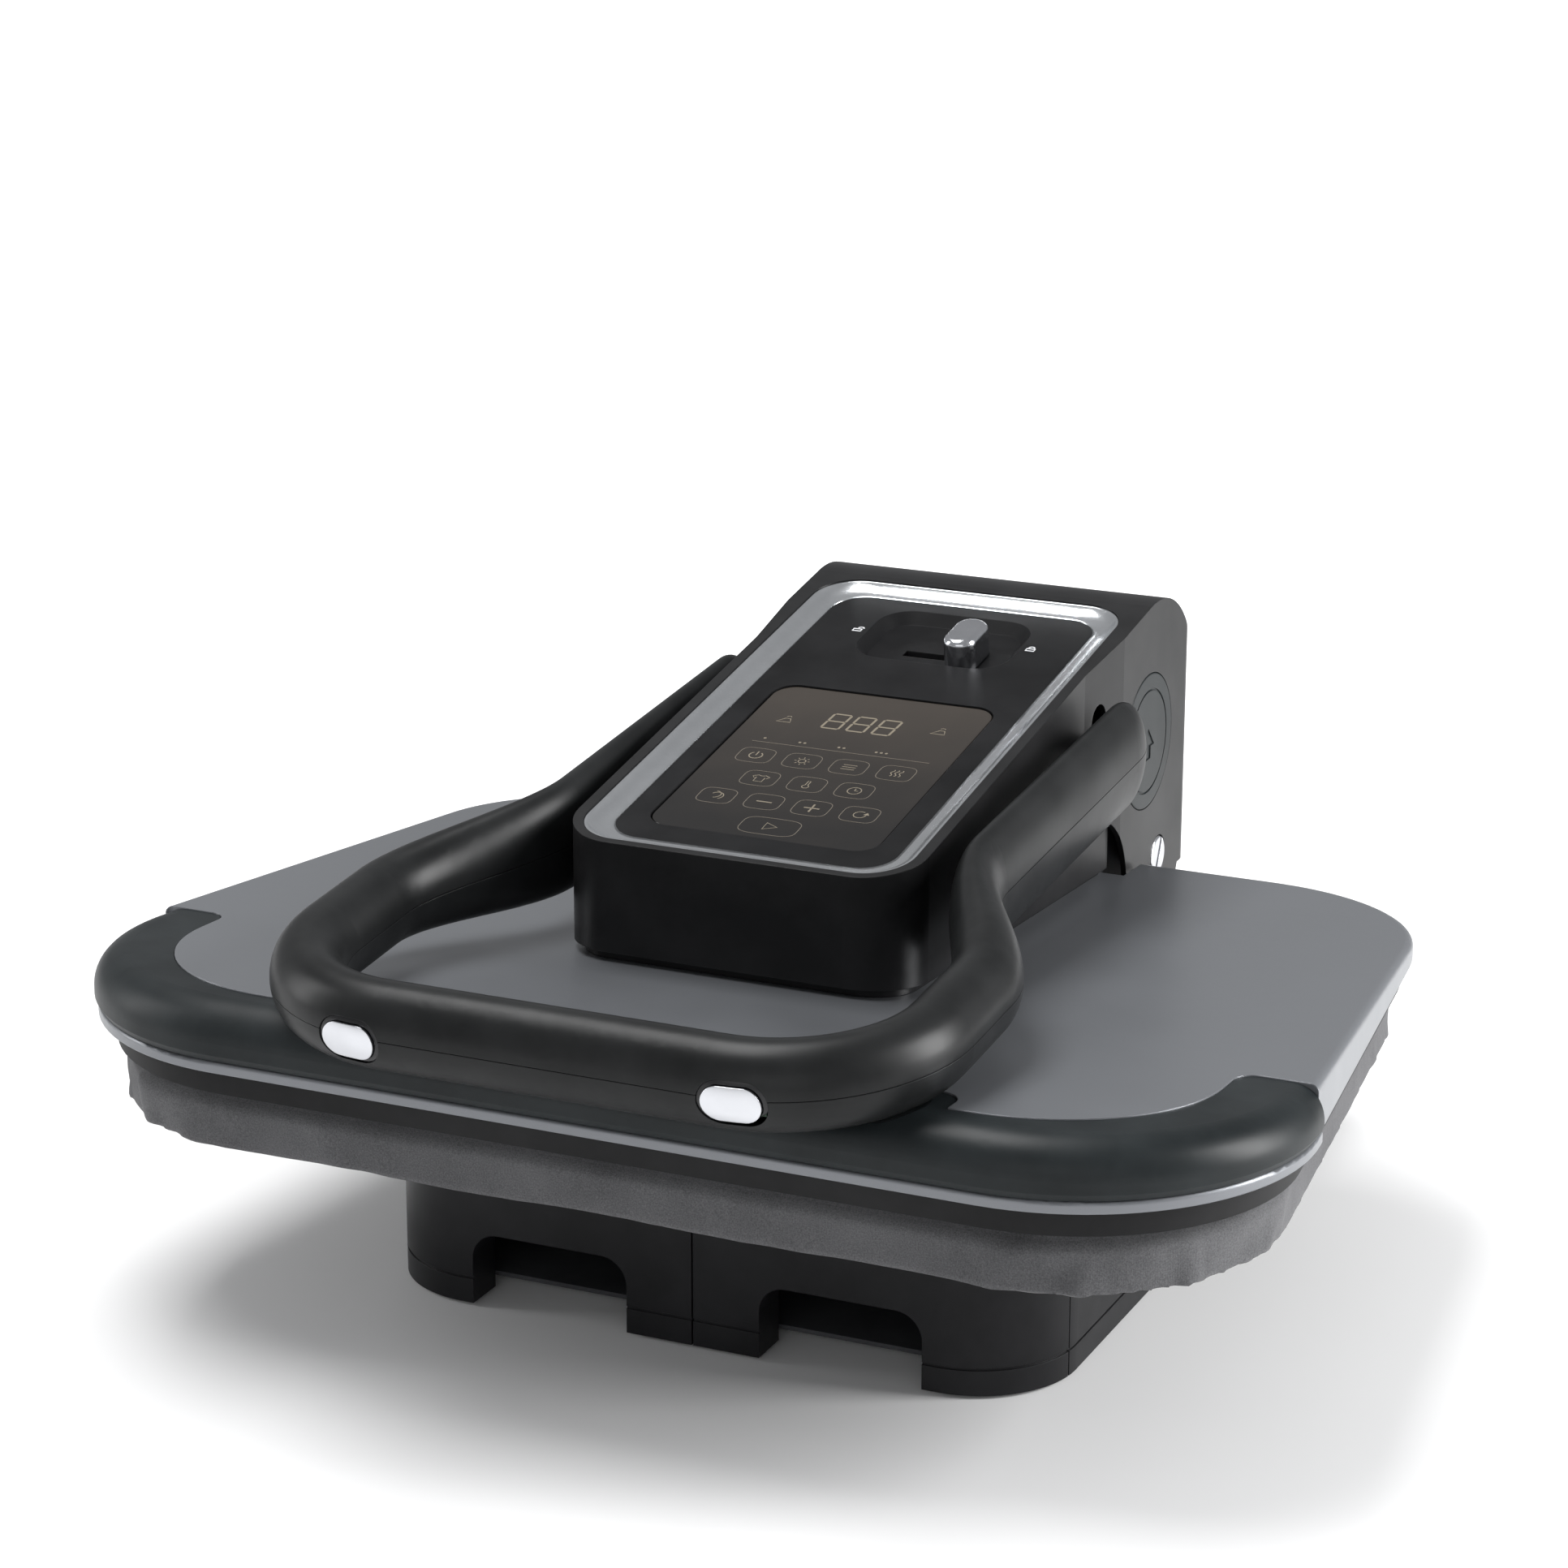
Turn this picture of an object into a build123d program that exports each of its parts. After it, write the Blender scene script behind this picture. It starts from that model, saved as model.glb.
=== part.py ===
from build123d import *
import math
import os

# Clamshell heat press, closed and unlocked.  Millimetres, +Z up, front towards -Y.
# The working origin is the middle of the stand's footprint at table level.  When the
# nodes are written, all are moved along Y so that the origin is under the middle of
# the whole press.

# ---------------------------------------------------------------- driving sizes

# Stand
STAND_HALF_WIDTH = 155.6
STAND_FRONT_Y = -189.4
STAND_REAR_Y = 189.0
STAND_TOP_Z = 88.0
STAND_CORNER_R = 45.0
STAND_WALL = 3.0
STAND_SEAM_Y = -151.8
FOOT_HEIGHT = 4.0
FLOOR_GAP = 1.5
ARCH_INNER_X = 30.9
ARCH_OUTER_X = 104.6
ARCH_TOP_Z = 34.5
ARCH_CORNER_R = 12.0
ARCH_DEPTH = 20.0
PLINTH_LINE_Z = 12.6
FOOT_X = 130.0
FOOT_Y = (-140.0, 165.0)
BRACKET_SCREW_X = (-30.0, 30.0)
BRACKET_SCREW_Y = (123.5, 151.0)

# Padded board
BOARD_BOTTOM_Z = 92.4
BOARD_TOP_Z = 120.2
BOARD_INSET = 9.0
FABRIC_THICKNESS = 2.0
TRAY_HEIGHT = 9.0

# Outline shared by the cover, the guard, the heating plate and the board
OUTLINE_FRONT_Y = -289.0
OUTLINE_REAR_Y = 116.5
OUTLINE_WIDEST_X = 264.6
OUTLINE_WIDEST_Y = -177.5
OUTLINE_TAPER = 0.119
OUTLINE_FRONT_R = 98.0
OUTLINE_REAR_R = 88.0

# Heating plate and cover
PLATE_BOTTOM_Z = 120.5
PLATE_THICKNESS = 10.0
PLATE_INSET = 14.0
PLATE_REAR_Y = 84.0
SURROUND_INSET = 5.0
VENT_R = 2.5
VENT_DEPTH = 4.0
VENT_ROWS = (-197.5, -117.5, -37.5, 42.5)
VENT_COLUMNS = (-180.0, -120.0, -60.0, 0.0, 60.0, 120.0, 180.0)
CHAMBER_DEPTH = 4.0
ELEMENT_R = 4.0
ELEMENT_Z = PLATE_BOTTOM_Z + PLATE_THICKNESS - 2.0
ELEMENT_X = (-170.0, 170.0)
ELEMENT_Y = (-215.0, 10.0)
COVER_BOTTOM_Z = 132.6
COVER_LIP_HEIGHT = 4.8
COVER_LIP_REACH = 2.6
COVER_WALL = 2.0
COVER_REF_Z = 155.2
COVER_SLOPE = 0.062
COVER_EDGE_R = 3.5
NOTCH_HALF_WIDTH = 87.0
NOTCH_FRONT_Y = 90.0
COVER_SCREWS = ((-55.0, -130.0), (55.0, -130.0), (-55.0, 60.0), (55.0, 60.0))

# Front guard
GUARD_PROUD = 4.0
GUARD_LIFT = -0.5
GUARD_ROUND = 15.0
GUARD_INNER = (232.0, -270.0, 76.0)
GUARD_PAD = (147.0, -252.0, 10.0)
GUARD_END_Y = -172.0
GUARD_END_R = 9.0
GUARD_SEAT_DEPTH = 9.0
GUARD_HANDLE_GAP = 1.3

# Head housing
HEAD_HALF_WIDTH = 80.9
TOWER_HALF_WIDTH = 84.0
HEAD_FRONT_Y = -156.0
HEAD_REAR_Y = 189.0
HEAD_WALL = 2.5
PLINTH_HEIGHT = 4.0
TOWER_BOTTOM_Z = 120.5
TOWER_FRONT_Y = 96.0
TOWER_TOP_R = 52.0
UNDERARM_ARCH = (57.6, 127.3, 45.0)
REAR_PANEL_X = 62.0
REAR_PANEL_Z = (136.0, 204.0)

# Control face: a plane that rises towards the rear.  Rectangles on it are given as
# (half width, front y, rear y, corner radius).
FACE_Z = 229.9
FACE_SLOPE = 0.1772
FACE_TILT = math.atan(FACE_SLOPE)
FACE_PLANE = Plane(origin=(0, 0, FACE_Z), x_dir=(1, 0, 0), z_dir=(0, -FACE_SLOPE, 1))
RIM_RISE = 4.7
BEZEL_INNER = (63.0, -137.4, 112.6, 15.0)
BEZEL_OUTER = (75.6, -151.3, 123.9, 21.0)
BEZEL_CREST = (74.4, -150.1, 122.7, 19.8)
BEZEL_DISH = ((0.0, 0.0), (0.4, 0.1), (0.75, 0.42), (1.0, 1.0))
GLASS = (53.0, -125.0, 16.8, 10.5)
GLASS_THICKNESS = 2.4
SLIDE_RECESS = (37.8, 53.5, 106.0, 16.0)
SLIDE_RECESS_DEPTH = 5.0

# Lock slide
KNOB_X = 14.7
KNOB_Y = 72.0
KNOB_WIDTH = 15.8
KNOB_LENGTH = 28.4
KNOB_HEIGHT = 14.7
LOCK_TRAVEL = 27.4
BOLT_TIP_X = -38.7
BOLT_Y = 45.0
BOLT_Z = 224.0
BOLT_SIZE = 6.0

# Mechanism axes, all parallel to X, as (y, z)
HINGE_YZ = (144.9, 132.3)
PIVOT_YZ = (127.0, 193.0)
GUIDE_PIN_YZ = (114.0, 152.0)
NECK_YZ = (62.0, 207.8)
HEAD_OPEN_DEG = 45.0
HANDLE_RATIO = 0.22
AXLE_R = 6.0
GUIDE_PIN_R = 5.0
RUNNING_GAP = 0.05
BRACKET_X = (50.0, 54.0)
LEVER_X = (60.0, 64.0)
CHASSIS_X = (70.0, 73.0)
PIVOT_CAP_R = 32.2

# Handle loop, planar, in a plane that rises towards the rear
GRIP_Y = -312.2
GRIP_Z = 174.8
HANDLE_SLOPE = 0.0882
HANDLE_TILT = math.atan(HANDLE_SLOPE)
HANDLE_PLANE = Plane(origin=(0, GRIP_Y, GRIP_Z), x_dir=(1, 0, 0), z_dir=(0, -HANDLE_SLOPE, 1))
LOOP_HALF_WIDTH = 134.9
LOOP_CORNER_R = 61.6
ARM_X = 97.0
BEND_START_Y = -210.8
BEND_END_Y = -107.1
ARM_END_Y = 75.5
ARM_TIP_LENGTH = 24.0
GRIP_SECTION = (15.3, 18.5)
ARM_SECTION = (10.0, 25.3)
HANDLE_WALL = 2.6
SEAM_GAP = 0.3
CORE_R = 4.5

# Grip buttons
BUTTON_X = 82.5
BUTTON_Z = 171.4
BUTTON_SIZE = (24.0, 14.7)
BUTTON_TRAVEL = 2.5
BUTTON_GAP = 0.3
BUTTON_STEM = 0.9
BUTTON_FRONT_Y = GRIP_Y - GRIP_SECTION[0] - 6
RING_WIDTH = 1.8

CENTRE = (Align.CENTER, Align.CENTER, Align.CENTER)
ON_FLOOR = (Align.CENTER, Align.CENTER, Align.MIN)
BIG = 900.0


# ---------------------------------------------------------------- shared helpers

def both_sides(shape):
    """The shape and its mirror image across the middle plane."""
    return shape + mirror(shape, about=Plane.YZ)


def group(shapes):
    """Several solids kept apart in one node."""
    return Compound([solid for shape in shapes for solid in shape.solids()])


def pair(shape):
    """The shape and its mirror image, kept as two separate solids."""
    return group([shape, mirror(shape, about=Plane.YZ)])


def block(x_range, y_range, z_range):
    """An axis-aligned block from its three ranges."""
    size = [high - low for low, high in (x_range, y_range, z_range)]
    centre = [(high + low) / 2 for low, high in (x_range, y_range, z_range)]
    return Pos(*centre) * Box(*size, align=CENTRE)


def rod_x(x_range, yz, radius):
    """A round bar along X."""
    middle = (x_range[0] + x_range[1]) / 2
    length = x_range[1] - x_range[0]
    return Pos(middle, *yz) * Rot(0, 90, 0) * Cylinder(radius, length, align=CENTRE)


def rod_z(x, y, z_range, radius):
    """A round bar along Z."""
    return Pos(x, y, z_range[0]) * Cylinder(radius, z_range[1] - z_range[0], align=ON_FLOOR)


def rod_y(x, z, y_range, radius):
    """A round bar along Y."""
    middle = (y_range[0] + y_range[1]) / 2
    length = y_range[1] - y_range[0]
    return Pos(x, middle, z) * Rot(90, 0, 0) * Cylinder(radius, length, align=CENTRE)


def side_plate(face_yz, x_range):
    """A flat plate cut from an outline drawn in the side view."""
    return Pos(x_range[0], 0, 0) * extrude(Plane.YZ * face_yz, x_range[1] - x_range[0])


def polygon(*points):
    """A filled outline from its corner points."""
    return make_face(Polyline(*points, close=True))


def disc(centre, radius):
    """A filled circle in a drawing plane."""
    return Pos(*centre) * Circle(radius)


def stadium(start, end, radius):
    """A filled slot shape between two points."""
    dx, dy = end[0] - start[0], end[1] - start[1]
    length = math.hypot(dx, dy)
    middle = ((start[0] + end[0]) / 2, (start[1] + end[1]) / 2)
    turn = math.degrees(math.atan2(dy, dx))
    bar = Pos(*middle) * Rot(0, 0, turn) * Rectangle(length, 2 * radius)
    return bar + disc(start, radius) + disc(end, radius)


def swing(yz, centre, degrees):
    """Turn a side-view point about a centre; positive lifts what is in front."""
    angle = math.radians(degrees)
    y, z = yz[0] - centre[0], yz[1] - centre[1]
    turned_y = y * math.cos(angle) + z * math.sin(angle)
    turned_z = -y * math.sin(angle) + z * math.cos(angle)
    return (centre[0] + turned_y, centre[1] + turned_z)


# ---------------------------------------------------------------- press outline

def press_outline(grow=0.0):
    """Plan outline of the cover: straight front, tapering sides, rounded corners."""
    front_x = OUTLINE_WIDEST_X + OUTLINE_TAPER * (OUTLINE_WIDEST_Y - OUTLINE_FRONT_Y)
    rear_x = OUTLINE_WIDEST_X + OUTLINE_TAPER * (OUTLINE_WIDEST_Y - OUTLINE_REAR_Y)
    outline = polygon(
        (-front_x, OUTLINE_FRONT_Y),
        (front_x, OUTLINE_FRONT_Y),
        (rear_x, OUTLINE_REAR_Y),
        (-rear_x, OUTLINE_REAR_Y),
    )
    outline = fillet(outline.vertices().group_by(Axis.Y)[0], OUTLINE_FRONT_R)
    outline = fillet(outline.vertices().group_by(Axis.Y)[-1], OUTLINE_REAR_R)
    return offset(outline, amount=grow) if grow else outline


def cover_z(y):
    """Height of the cover's top surface."""
    return COVER_REF_Z - COVER_SLOPE * (y - OUTLINE_WIDEST_Y)


def above_cover(lift):
    """Everything above the cover's top surface, raised by lift."""
    plane = Plane(
        origin=(0, OUTLINE_WIDEST_Y, COVER_REF_Z + lift),
        x_dir=(1, 0, 0),
        z_dir=(0, COVER_SLOPE, 1),
    )
    return plane * Box(BIG, BIG, 200, align=ON_FLOOR)


def cover_envelope(grow, lift, bottom_z):
    """Solid under the cover's sloping top, from bottom_z up."""
    slab = Pos(0, 0, bottom_z) * extrude(press_outline(grow), 60)
    return slab - above_cover(lift)


def tower_notch(gap, z_range=(60, 200)):
    """Room for the tower at the rear of the cover and the heating plate."""
    half = NOTCH_HALF_WIDTH + gap
    return block((-half, half), (NOTCH_FRONT_Y - gap, 200), z_range)


# ---------------------------------------------------------------- stand

def stand_outline(shrink=0.0):
    """Footprint of the stand, with wide front corners."""
    half = STAND_HALF_WIDTH - shrink
    length = STAND_REAR_Y - STAND_FRONT_Y - 2 * shrink
    middle = (STAND_REAR_Y + STAND_FRONT_Y) / 2
    outline = Pos(0, middle) * Rectangle(2 * half, length)
    outline = fillet(outline.vertices().group_by(Axis.Y)[0], STAND_CORNER_R - shrink)
    return fillet(outline.vertices().group_by(Axis.Y)[-1], 20 - shrink)


def arch_face(grow=0.0):
    """Front view of one finger arch, open at the bottom."""
    width = ARCH_OUTER_X - ARCH_INNER_X + 2 * grow
    height = ARCH_TOP_Z + grow + 20
    face = Rectangle(width, height, align=(Align.CENTER, Align.MIN))
    face = fillet(face.vertices().group_by(Axis.Y)[-1], ARCH_CORNER_R + grow)
    return Pos((ARCH_INNER_X + ARCH_OUTER_X) / 2, -20) * face


def arch_prism(grow, depth):
    """The right-hand arch pushed into the stand from its front."""
    plane = Plane(origin=(0, STAND_FRONT_Y - 10, 0), x_dir=(1, 0, 0), z_dir=(0, -1, 0))
    return plane * extrude(arch_face(grow), -(depth + 10))


def stand_walls():
    """The stand's outer wall all round, below its deck."""
    height = STAND_TOP_Z - STAND_WALL - FLOOR_GAP
    ring = stand_outline() - stand_outline(STAND_WALL)
    walls = Pos(0, 0, FLOOR_GAP) * extrude(ring, height)
    groove_ring = stand_outline() - stand_outline(0.8)
    groove = Pos(0, 0, PLINTH_LINE_Z) * extrude(groove_ring, 1.2)
    return walls - groove


def base_front_right():
    """Right half of the front shell, with its finger arch and lined tunnel."""
    seam_half = 0.4
    region = block((seam_half, BIG), (-BIG, STAND_SEAM_Y - seam_half), (0, BIG))
    shell = stand_walls() & region
    liner = arch_prism(STAND_WALL, ARCH_DEPTH) & block((0, BIG), (STAND_FRONT_Y + 1, 0), (FLOOR_GAP, 80))
    return shell + liner - arch_prism(0, ARCH_DEPTH + 5)


def base_body():
    """Side walls, rear wall and deck in one moulding."""
    walls = stand_walls() & block((-BIG, BIG), (STAND_SEAM_Y + 0.4, BIG), (0, BIG))
    deck_z = STAND_TOP_Z - STAND_WALL
    deck = Pos(0, 0, deck_z) * extrude(stand_outline(), STAND_WALL)
    inlet_window = block((-16, 16), (STAND_REAR_Y - 10, STAND_REAR_Y + 10), (22, 48))
    body = walls + deck - inlet_window
    for x in BRACKET_SCREW_X:
        for y in BRACKET_SCREW_Y:
            body -= rod_z(x, y, (deck_z - 1, STAND_TOP_Z + 1), 3.1)
    return body


def bottom_plate():
    """Flat plate that closes the stand from below."""
    plate = Pos(0, 0, FOOT_HEIGHT) * extrude(stand_outline(STAND_WALL + 0.5), 2)
    front_gap = block((-BIG, BIG), (-BIG, STAND_FRONT_Y + ARCH_DEPTH + 6), (0, 20))
    return plate - front_gap


def rubber_feet():
    """Four round feet under the bottom plate."""
    feet = []
    for x in (-FOOT_X, FOOT_X):
        for y in FOOT_Y:
            foot = rod_z(x, y, (0, FOOT_HEIGHT), 11)
            feet.append(chamfer(foot.edges().group_by(Axis.Z)[0], 1.2))
    return group(feet)


def power_inlet():
    """Flanged mains inlet in the rear wall, with three contact pins."""
    rear = STAND_REAR_Y
    flange = block((-19, 19), (rear, rear + 2), (19, 51))
    flange = fillet(flange.edges().filter_by(Axis.Y), 4)
    body = block((-15.5, 15.5), (rear - 28, rear), (22.5, 47.5))
    socket = block((-12, 12), (rear - 18, rear + 3), (26, 42))
    inlet = flange + body - socket
    for x, z in ((-7, 32), (0, 37), (7, 32)):
        inlet += block((x - 1, x + 1), (rear - 18, rear - 4), (z - 2, z + 2))
    return inlet


def hinge_bracket():
    """Steel bracket on the deck: a foot and two ears that hold the axle and pins."""
    ear_face = polygon((106, 164), (124, 164), (160, 144), (160, 88), (118, 88), (112, 124), (106, 142))
    ear_face = fillet(ear_face.vertices().group_by(Axis.Y)[-1], 6)
    ear = side_plate(ear_face, BRACKET_X)
    ear -= rod_x((40, 60), HINGE_YZ, AXLE_R)
    ear -= rod_x((40, 60), GUIDE_PIN_YZ, GUIDE_PIN_R)
    foot = block((-BRACKET_X[0], BRACKET_X[0]), (112, 164), (STAND_TOP_Z, STAND_TOP_Z + 4))
    bracket = both_sides(ear) + foot
    for x in BRACKET_SCREW_X:
        for y in BRACKET_SCREW_Y:
            bracket -= rod_z(x, y, (STAND_TOP_Z - 1, STAND_TOP_Z + 5), 3.1)
    return bracket


def bracket_screws():
    """Four screws that hold the bracket on the deck."""
    screws = []
    for x in BRACKET_SCREW_X:
        for y in BRACKET_SCREW_Y:
            shank = rod_z(x, y, (STAND_TOP_Z - 12, STAND_TOP_Z + 4), 3.0)
            head = rod_z(x, y, (STAND_TOP_Z + 4, STAND_TOP_Z + 7.5), 5.2)
            socket = rod_z(x, y, (STAND_TOP_Z + 5.5, STAND_TOP_Z + 8), 2.4)
            screws.append(shank + head - socket)
    return group(screws)


def guide_pin():
    """Fixed pin on the bracket's ear that runs in the lever's slot."""
    pin = rod_x((BRACKET_X[0], LEVER_X[1] + 2), GUIDE_PIN_YZ, GUIDE_PIN_R)
    return chamfer(pin.edges().group_by(Axis.X)[-1], 0.8)


def hinge_axle():
    """Main axle, held in the bracket; the head turns on its ends."""
    reach = TOWER_HALF_WIDTH - 3.2
    return rod_x((-reach, reach), HINGE_YZ, AXLE_R)


def axle_cap():
    """Slotted bright cap on the right end of the axle."""
    inner = TOWER_HALF_WIDTH - 3.2
    cap = rod_x((inner, TOWER_HALF_WIDTH + 0.6), HINGE_YZ, 9.4)
    cap = fillet(cap.edges().group_by(Axis.X)[-1], 1.4)
    slot = block((TOWER_HALF_WIDTH - 1.4, TOWER_HALF_WIDTH + 2), (-10, 10), (-1.2, 1.2))
    tilt = Pos(0, *HINGE_YZ) * Rot(65, 0, 0)
    return cap - tilt * slot


def lift_spring():
    """Torsion spring round the axle that carries the head's weight."""
    coil_radius = 10.2
    wire_radius = 1.6
    turns = 5
    pitch = 4.0
    path = Helix(pitch=pitch, height=pitch * turns, radius=coil_radius)
    start = Plane(origin=path @ 0, z_dir=path % 0)
    coil = sweep(start * Circle(wire_radius), path=path, is_frenet=True)
    return Pos(22, *HINGE_YZ) * Rot(0, 90, 0) * coil


def column_cover():
    """Plastic cover over the bracket's foot, behind the board."""
    outer = block((-46, 46), (113, 160), (STAND_TOP_Z + 4.2, 116))
    outer = fillet(outer.edges().group_by(Axis.Z)[-1], 8)
    inner = block((-43.5, 43.5), (115.5, 157.5), (STAND_TOP_Z, 113.5))
    return outer - inner


# ---------------------------------------------------------------- board

def board_tray():
    """Shallow pressed pan that carries the pad and sits on the stand."""
    inset = -(BOARD_INSET + FABRIC_THICKNESS + 2.2)
    bottom = BOARD_BOTTOM_Z + FABRIC_THICKNESS + 0.2
    outer = Pos(0, 0, bottom) * extrude(press_outline(inset), TRAY_HEIGHT)
    inner = Pos(0, 0, bottom + 2) * extrude(press_outline(inset - 2), TRAY_HEIGHT)
    return outer - inner


def foam_pad():
    """Heat-proof foam that fills the tray and stands above its rim."""
    inset = -(BOARD_INSET + FABRIC_THICKNESS + 5)
    bottom = BOARD_BOTTOM_Z + FABRIC_THICKNESS + 2.4
    top = BOARD_TOP_Z - FABRIC_THICKNESS - 0.2
    pad = Pos(0, 0, bottom) * extrude(press_outline(inset), top - bottom)
    return fillet(pad.edges().group_by(Axis.Z)[-1], 5)


def board_fabric():
    """Stretched cover over the pad and tray, with a turned-in hem below."""
    height = BOARD_TOP_Z - BOARD_BOTTOM_Z
    outer = Pos(0, 0, BOARD_BOTTOM_Z) * extrude(press_outline(-BOARD_INSET), height)
    outer = fillet(outer.edges().group_by(Axis.Z)[-1], 6)
    inner_inset = -(BOARD_INSET + FABRIC_THICKNESS)
    inner_height = height - 2 * FABRIC_THICKNESS
    inner = Pos(0, 0, BOARD_BOTTOM_Z + FABRIC_THICKNESS) * extrude(press_outline(inner_inset), inner_height)
    inner = fillet(inner.edges().group_by(Axis.Z)[-1], 4)
    opening = extrude(press_outline(inner_inset - 30), FABRIC_THICKNESS + 2)
    return outer - inner - Pos(0, 0, BOARD_BOTTOM_Z - 1) * opening


def board_mount():
    """Spacer frame between the stand's deck and the board's tray."""
    top = BOARD_BOTTOM_Z + FABRIC_THICKNESS
    outer = block((-140, 140), (-170, 66), (STAND_TOP_Z, top))
    inner = block((-120, 120), (-150, 46), (STAND_TOP_Z - 1, top + 1))
    outer = fillet(outer.edges().filter_by(Axis.Z), 30)
    inner = fillet(inner.edges().filter_by(Axis.Z), 14)
    return outer - inner


# ---------------------------------------------------------------- heating plate

def element_path():
    """Centre line of the bent heating tube, open at the rear."""
    left, right = ELEMENT_X
    front, rear = ELEMENT_Y
    middle = (front + rear) / 2
    with BuildLine() as line:
        FilletPolyline(
            (-20, rear, ELEMENT_Z),
            (left, rear, ELEMENT_Z),
            (left, front, ELEMENT_Z),
            (right, front, ELEMENT_Z),
            (right, rear, ELEMENT_Z),
            (60, rear, ELEMENT_Z),
            (60, middle, ELEMENT_Z),
            (20, middle, ELEMENT_Z),
            (20, rear, ELEMENT_Z),
            radius=18,
        )
    return line.wire()


def element_tube(radius):
    """Round tube along the heating element's path."""
    path = element_path()
    start = Plane(origin=path @ 0, z_dir=path % 0)
    return sweep(start * Circle(radius), path=path)


def heater_plate():
    """Cast sole plate with steam vents and a channel for the heating tube."""
    plate = Pos(0, 0, PLATE_BOTTOM_Z) * extrude(press_outline(-PLATE_INSET), PLATE_THICKNESS)
    plate -= block((-BIG, BIG), (PLATE_REAR_Y, BIG), (0, 200))
    plate = chamfer(plate.edges().group_by(Axis.Z)[0], 1.5)
    plate -= element_tube(ELEMENT_R + 0.1)
    for y in VENT_ROWS:
        for x in VENT_COLUMNS:
            plate -= rod_z(x, y, (PLATE_BOTTOM_Z - 1, PLATE_BOTTOM_Z + VENT_DEPTH), VENT_R)
    chamber_floor = PLATE_BOTTOM_Z + PLATE_THICKNESS - CHAMBER_DEPTH
    return plate - block((-90, -30), (-180, -60), (chamber_floor, 200))


def plate_surround():
    """Dark heat-proof ring round the edge of the heating plate."""
    height = COVER_BOTTOM_Z - 0.2 - PLATE_BOTTOM_Z
    ring = press_outline(-SURROUND_INSET) - press_outline(-(PLATE_INSET - 0.4))
    surround = Pos(0, 0, PLATE_BOTTOM_Z) * extrude(ring, height)
    rear_bar = press_outline(-SURROUND_INSET) & Pos(0, PLATE_REAR_Y + 0.4 + 50) * Rectangle(BIG, 100)
    surround += Pos(0, 0, PLATE_BOTTOM_Z) * extrude(rear_bar, height)
    return surround - tower_notch(0.5)


def steam_chamber_lid():
    """Lid over the steam chamber cast into the plate, with its inlet stub."""
    top = PLATE_BOTTOM_Z + PLATE_THICKNESS
    lid = block((-95, -25), (-185, -55), (top + 0.1, top + 2.1))
    stub = rod_z(-60, -120, (top + 2.1, top + 16), 4)
    bore = rod_z(-60, -120, (top, top + 17), 2)
    return lid + stub - bore


def thermostats():
    """Cut-out switch and temperature sensor clamped on the plate."""
    top = PLATE_BOTTOM_Z + PLATE_THICKNESS + 0.1
    switch = rod_z(110, -90, (top, top + 7), 9) + block((96, 124), (-92, -88), (top, top + 1.5))
    sensor = block((96, 118), (-40, -34), (top, top + 4))
    return group([switch, sensor])


def insulation():
    """Blanket between the hot plate and the cover."""
    bottom = PLATE_BOTTOM_Z + PLATE_THICKNESS + 2.6
    blanket = cover_envelope(-(PLATE_INSET + 6), -4.5, bottom)
    blanket -= block((-BIG, BIG), (78, BIG), (0, 300))
    blanket -= block((-98, -22), (-188, -52), (0, 300))
    blanket -= block((92, 128), (-102, -30), (0, 300))
    blanket -= guard_seat(COVER_WALL + 1.5, GUARD_SEAT_DEPTH + COVER_WALL + 1.5)
    return blanket


# ---------------------------------------------------------------- cover and guard

def guard_plan(grow=0.0):
    """Plan of the guard: a band round the front edge, deeper under the handle."""
    half, front, corner_r = GUARD_INNER
    depth = 2 * corner_r + 200
    inner = RectangleRounded(2 * (half - grow), depth, corner_r - grow)
    band = press_outline(GUARD_PROUD + grow) - Pos(0, front + grow + depth / 2) * inner
    pad_half, pad_rear, pad_r = GUARD_PAD
    pad_depth = pad_rear - OUTLINE_FRONT_Y
    pad = RectangleRounded(2 * (pad_half + grow), pad_depth + 2 * grow, pad_r)
    band += Pos(0, OUTLINE_FRONT_Y + pad_depth / 2) * pad
    band -= Pos(0, GUARD_END_Y + grow + BIG / 2) * Rectangle(BIG, BIG)
    return offset(offset(band, amount=-GUARD_END_R), amount=GUARD_END_R)


def guard_seat(grow, depth):
    """The step in the cover that the guard sits in."""
    band = Pos(0, 0, COVER_BOTTOM_Z - 5) * extrude(guard_plan(grow), 80)
    return band & above_cover(-depth)


def top_cover():
    """Pressed metal cover with a sloping top, a skirt and a small bottom lip."""
    outer = cover_envelope(0, 0, COVER_BOTTOM_Z)
    top_face = outer.faces().sort_by(Axis.Z)[-1]
    outer = fillet(top_face.edges(), COVER_EDGE_R) - guard_seat(0.25, GUARD_SEAT_DEPTH)
    lip_outline = press_outline(COVER_LIP_REACH)
    lip_outline -= Pos(0, GUARD_END_Y - 3 + BIG / 2) * Rectangle(BIG, BIG)
    lip = Pos(0, 0, COVER_BOTTOM_Z) * extrude(lip_outline, COVER_LIP_HEIGHT)
    outer += fillet(lip.edges().group_by(Axis.Z)[-1], 1.5)
    inner = cover_envelope(-COVER_WALL, -COVER_WALL, COVER_BOTTOM_Z - 1)
    inner -= guard_seat(COVER_WALL + 0.25, GUARD_SEAT_DEPTH + COVER_WALL)
    cover = outer - inner - tower_notch(0)
    hose_hole = rod_z(-60, -120, (130, 190), 7)
    wire_hole = rod_z(30, 20, (130, 190), 7)
    cover = cover - hose_hole - wire_hole
    for x, y in COVER_SCREWS:
        cover -= rod_z(x, y, (130, 190), 2.1)
    return cover


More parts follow.
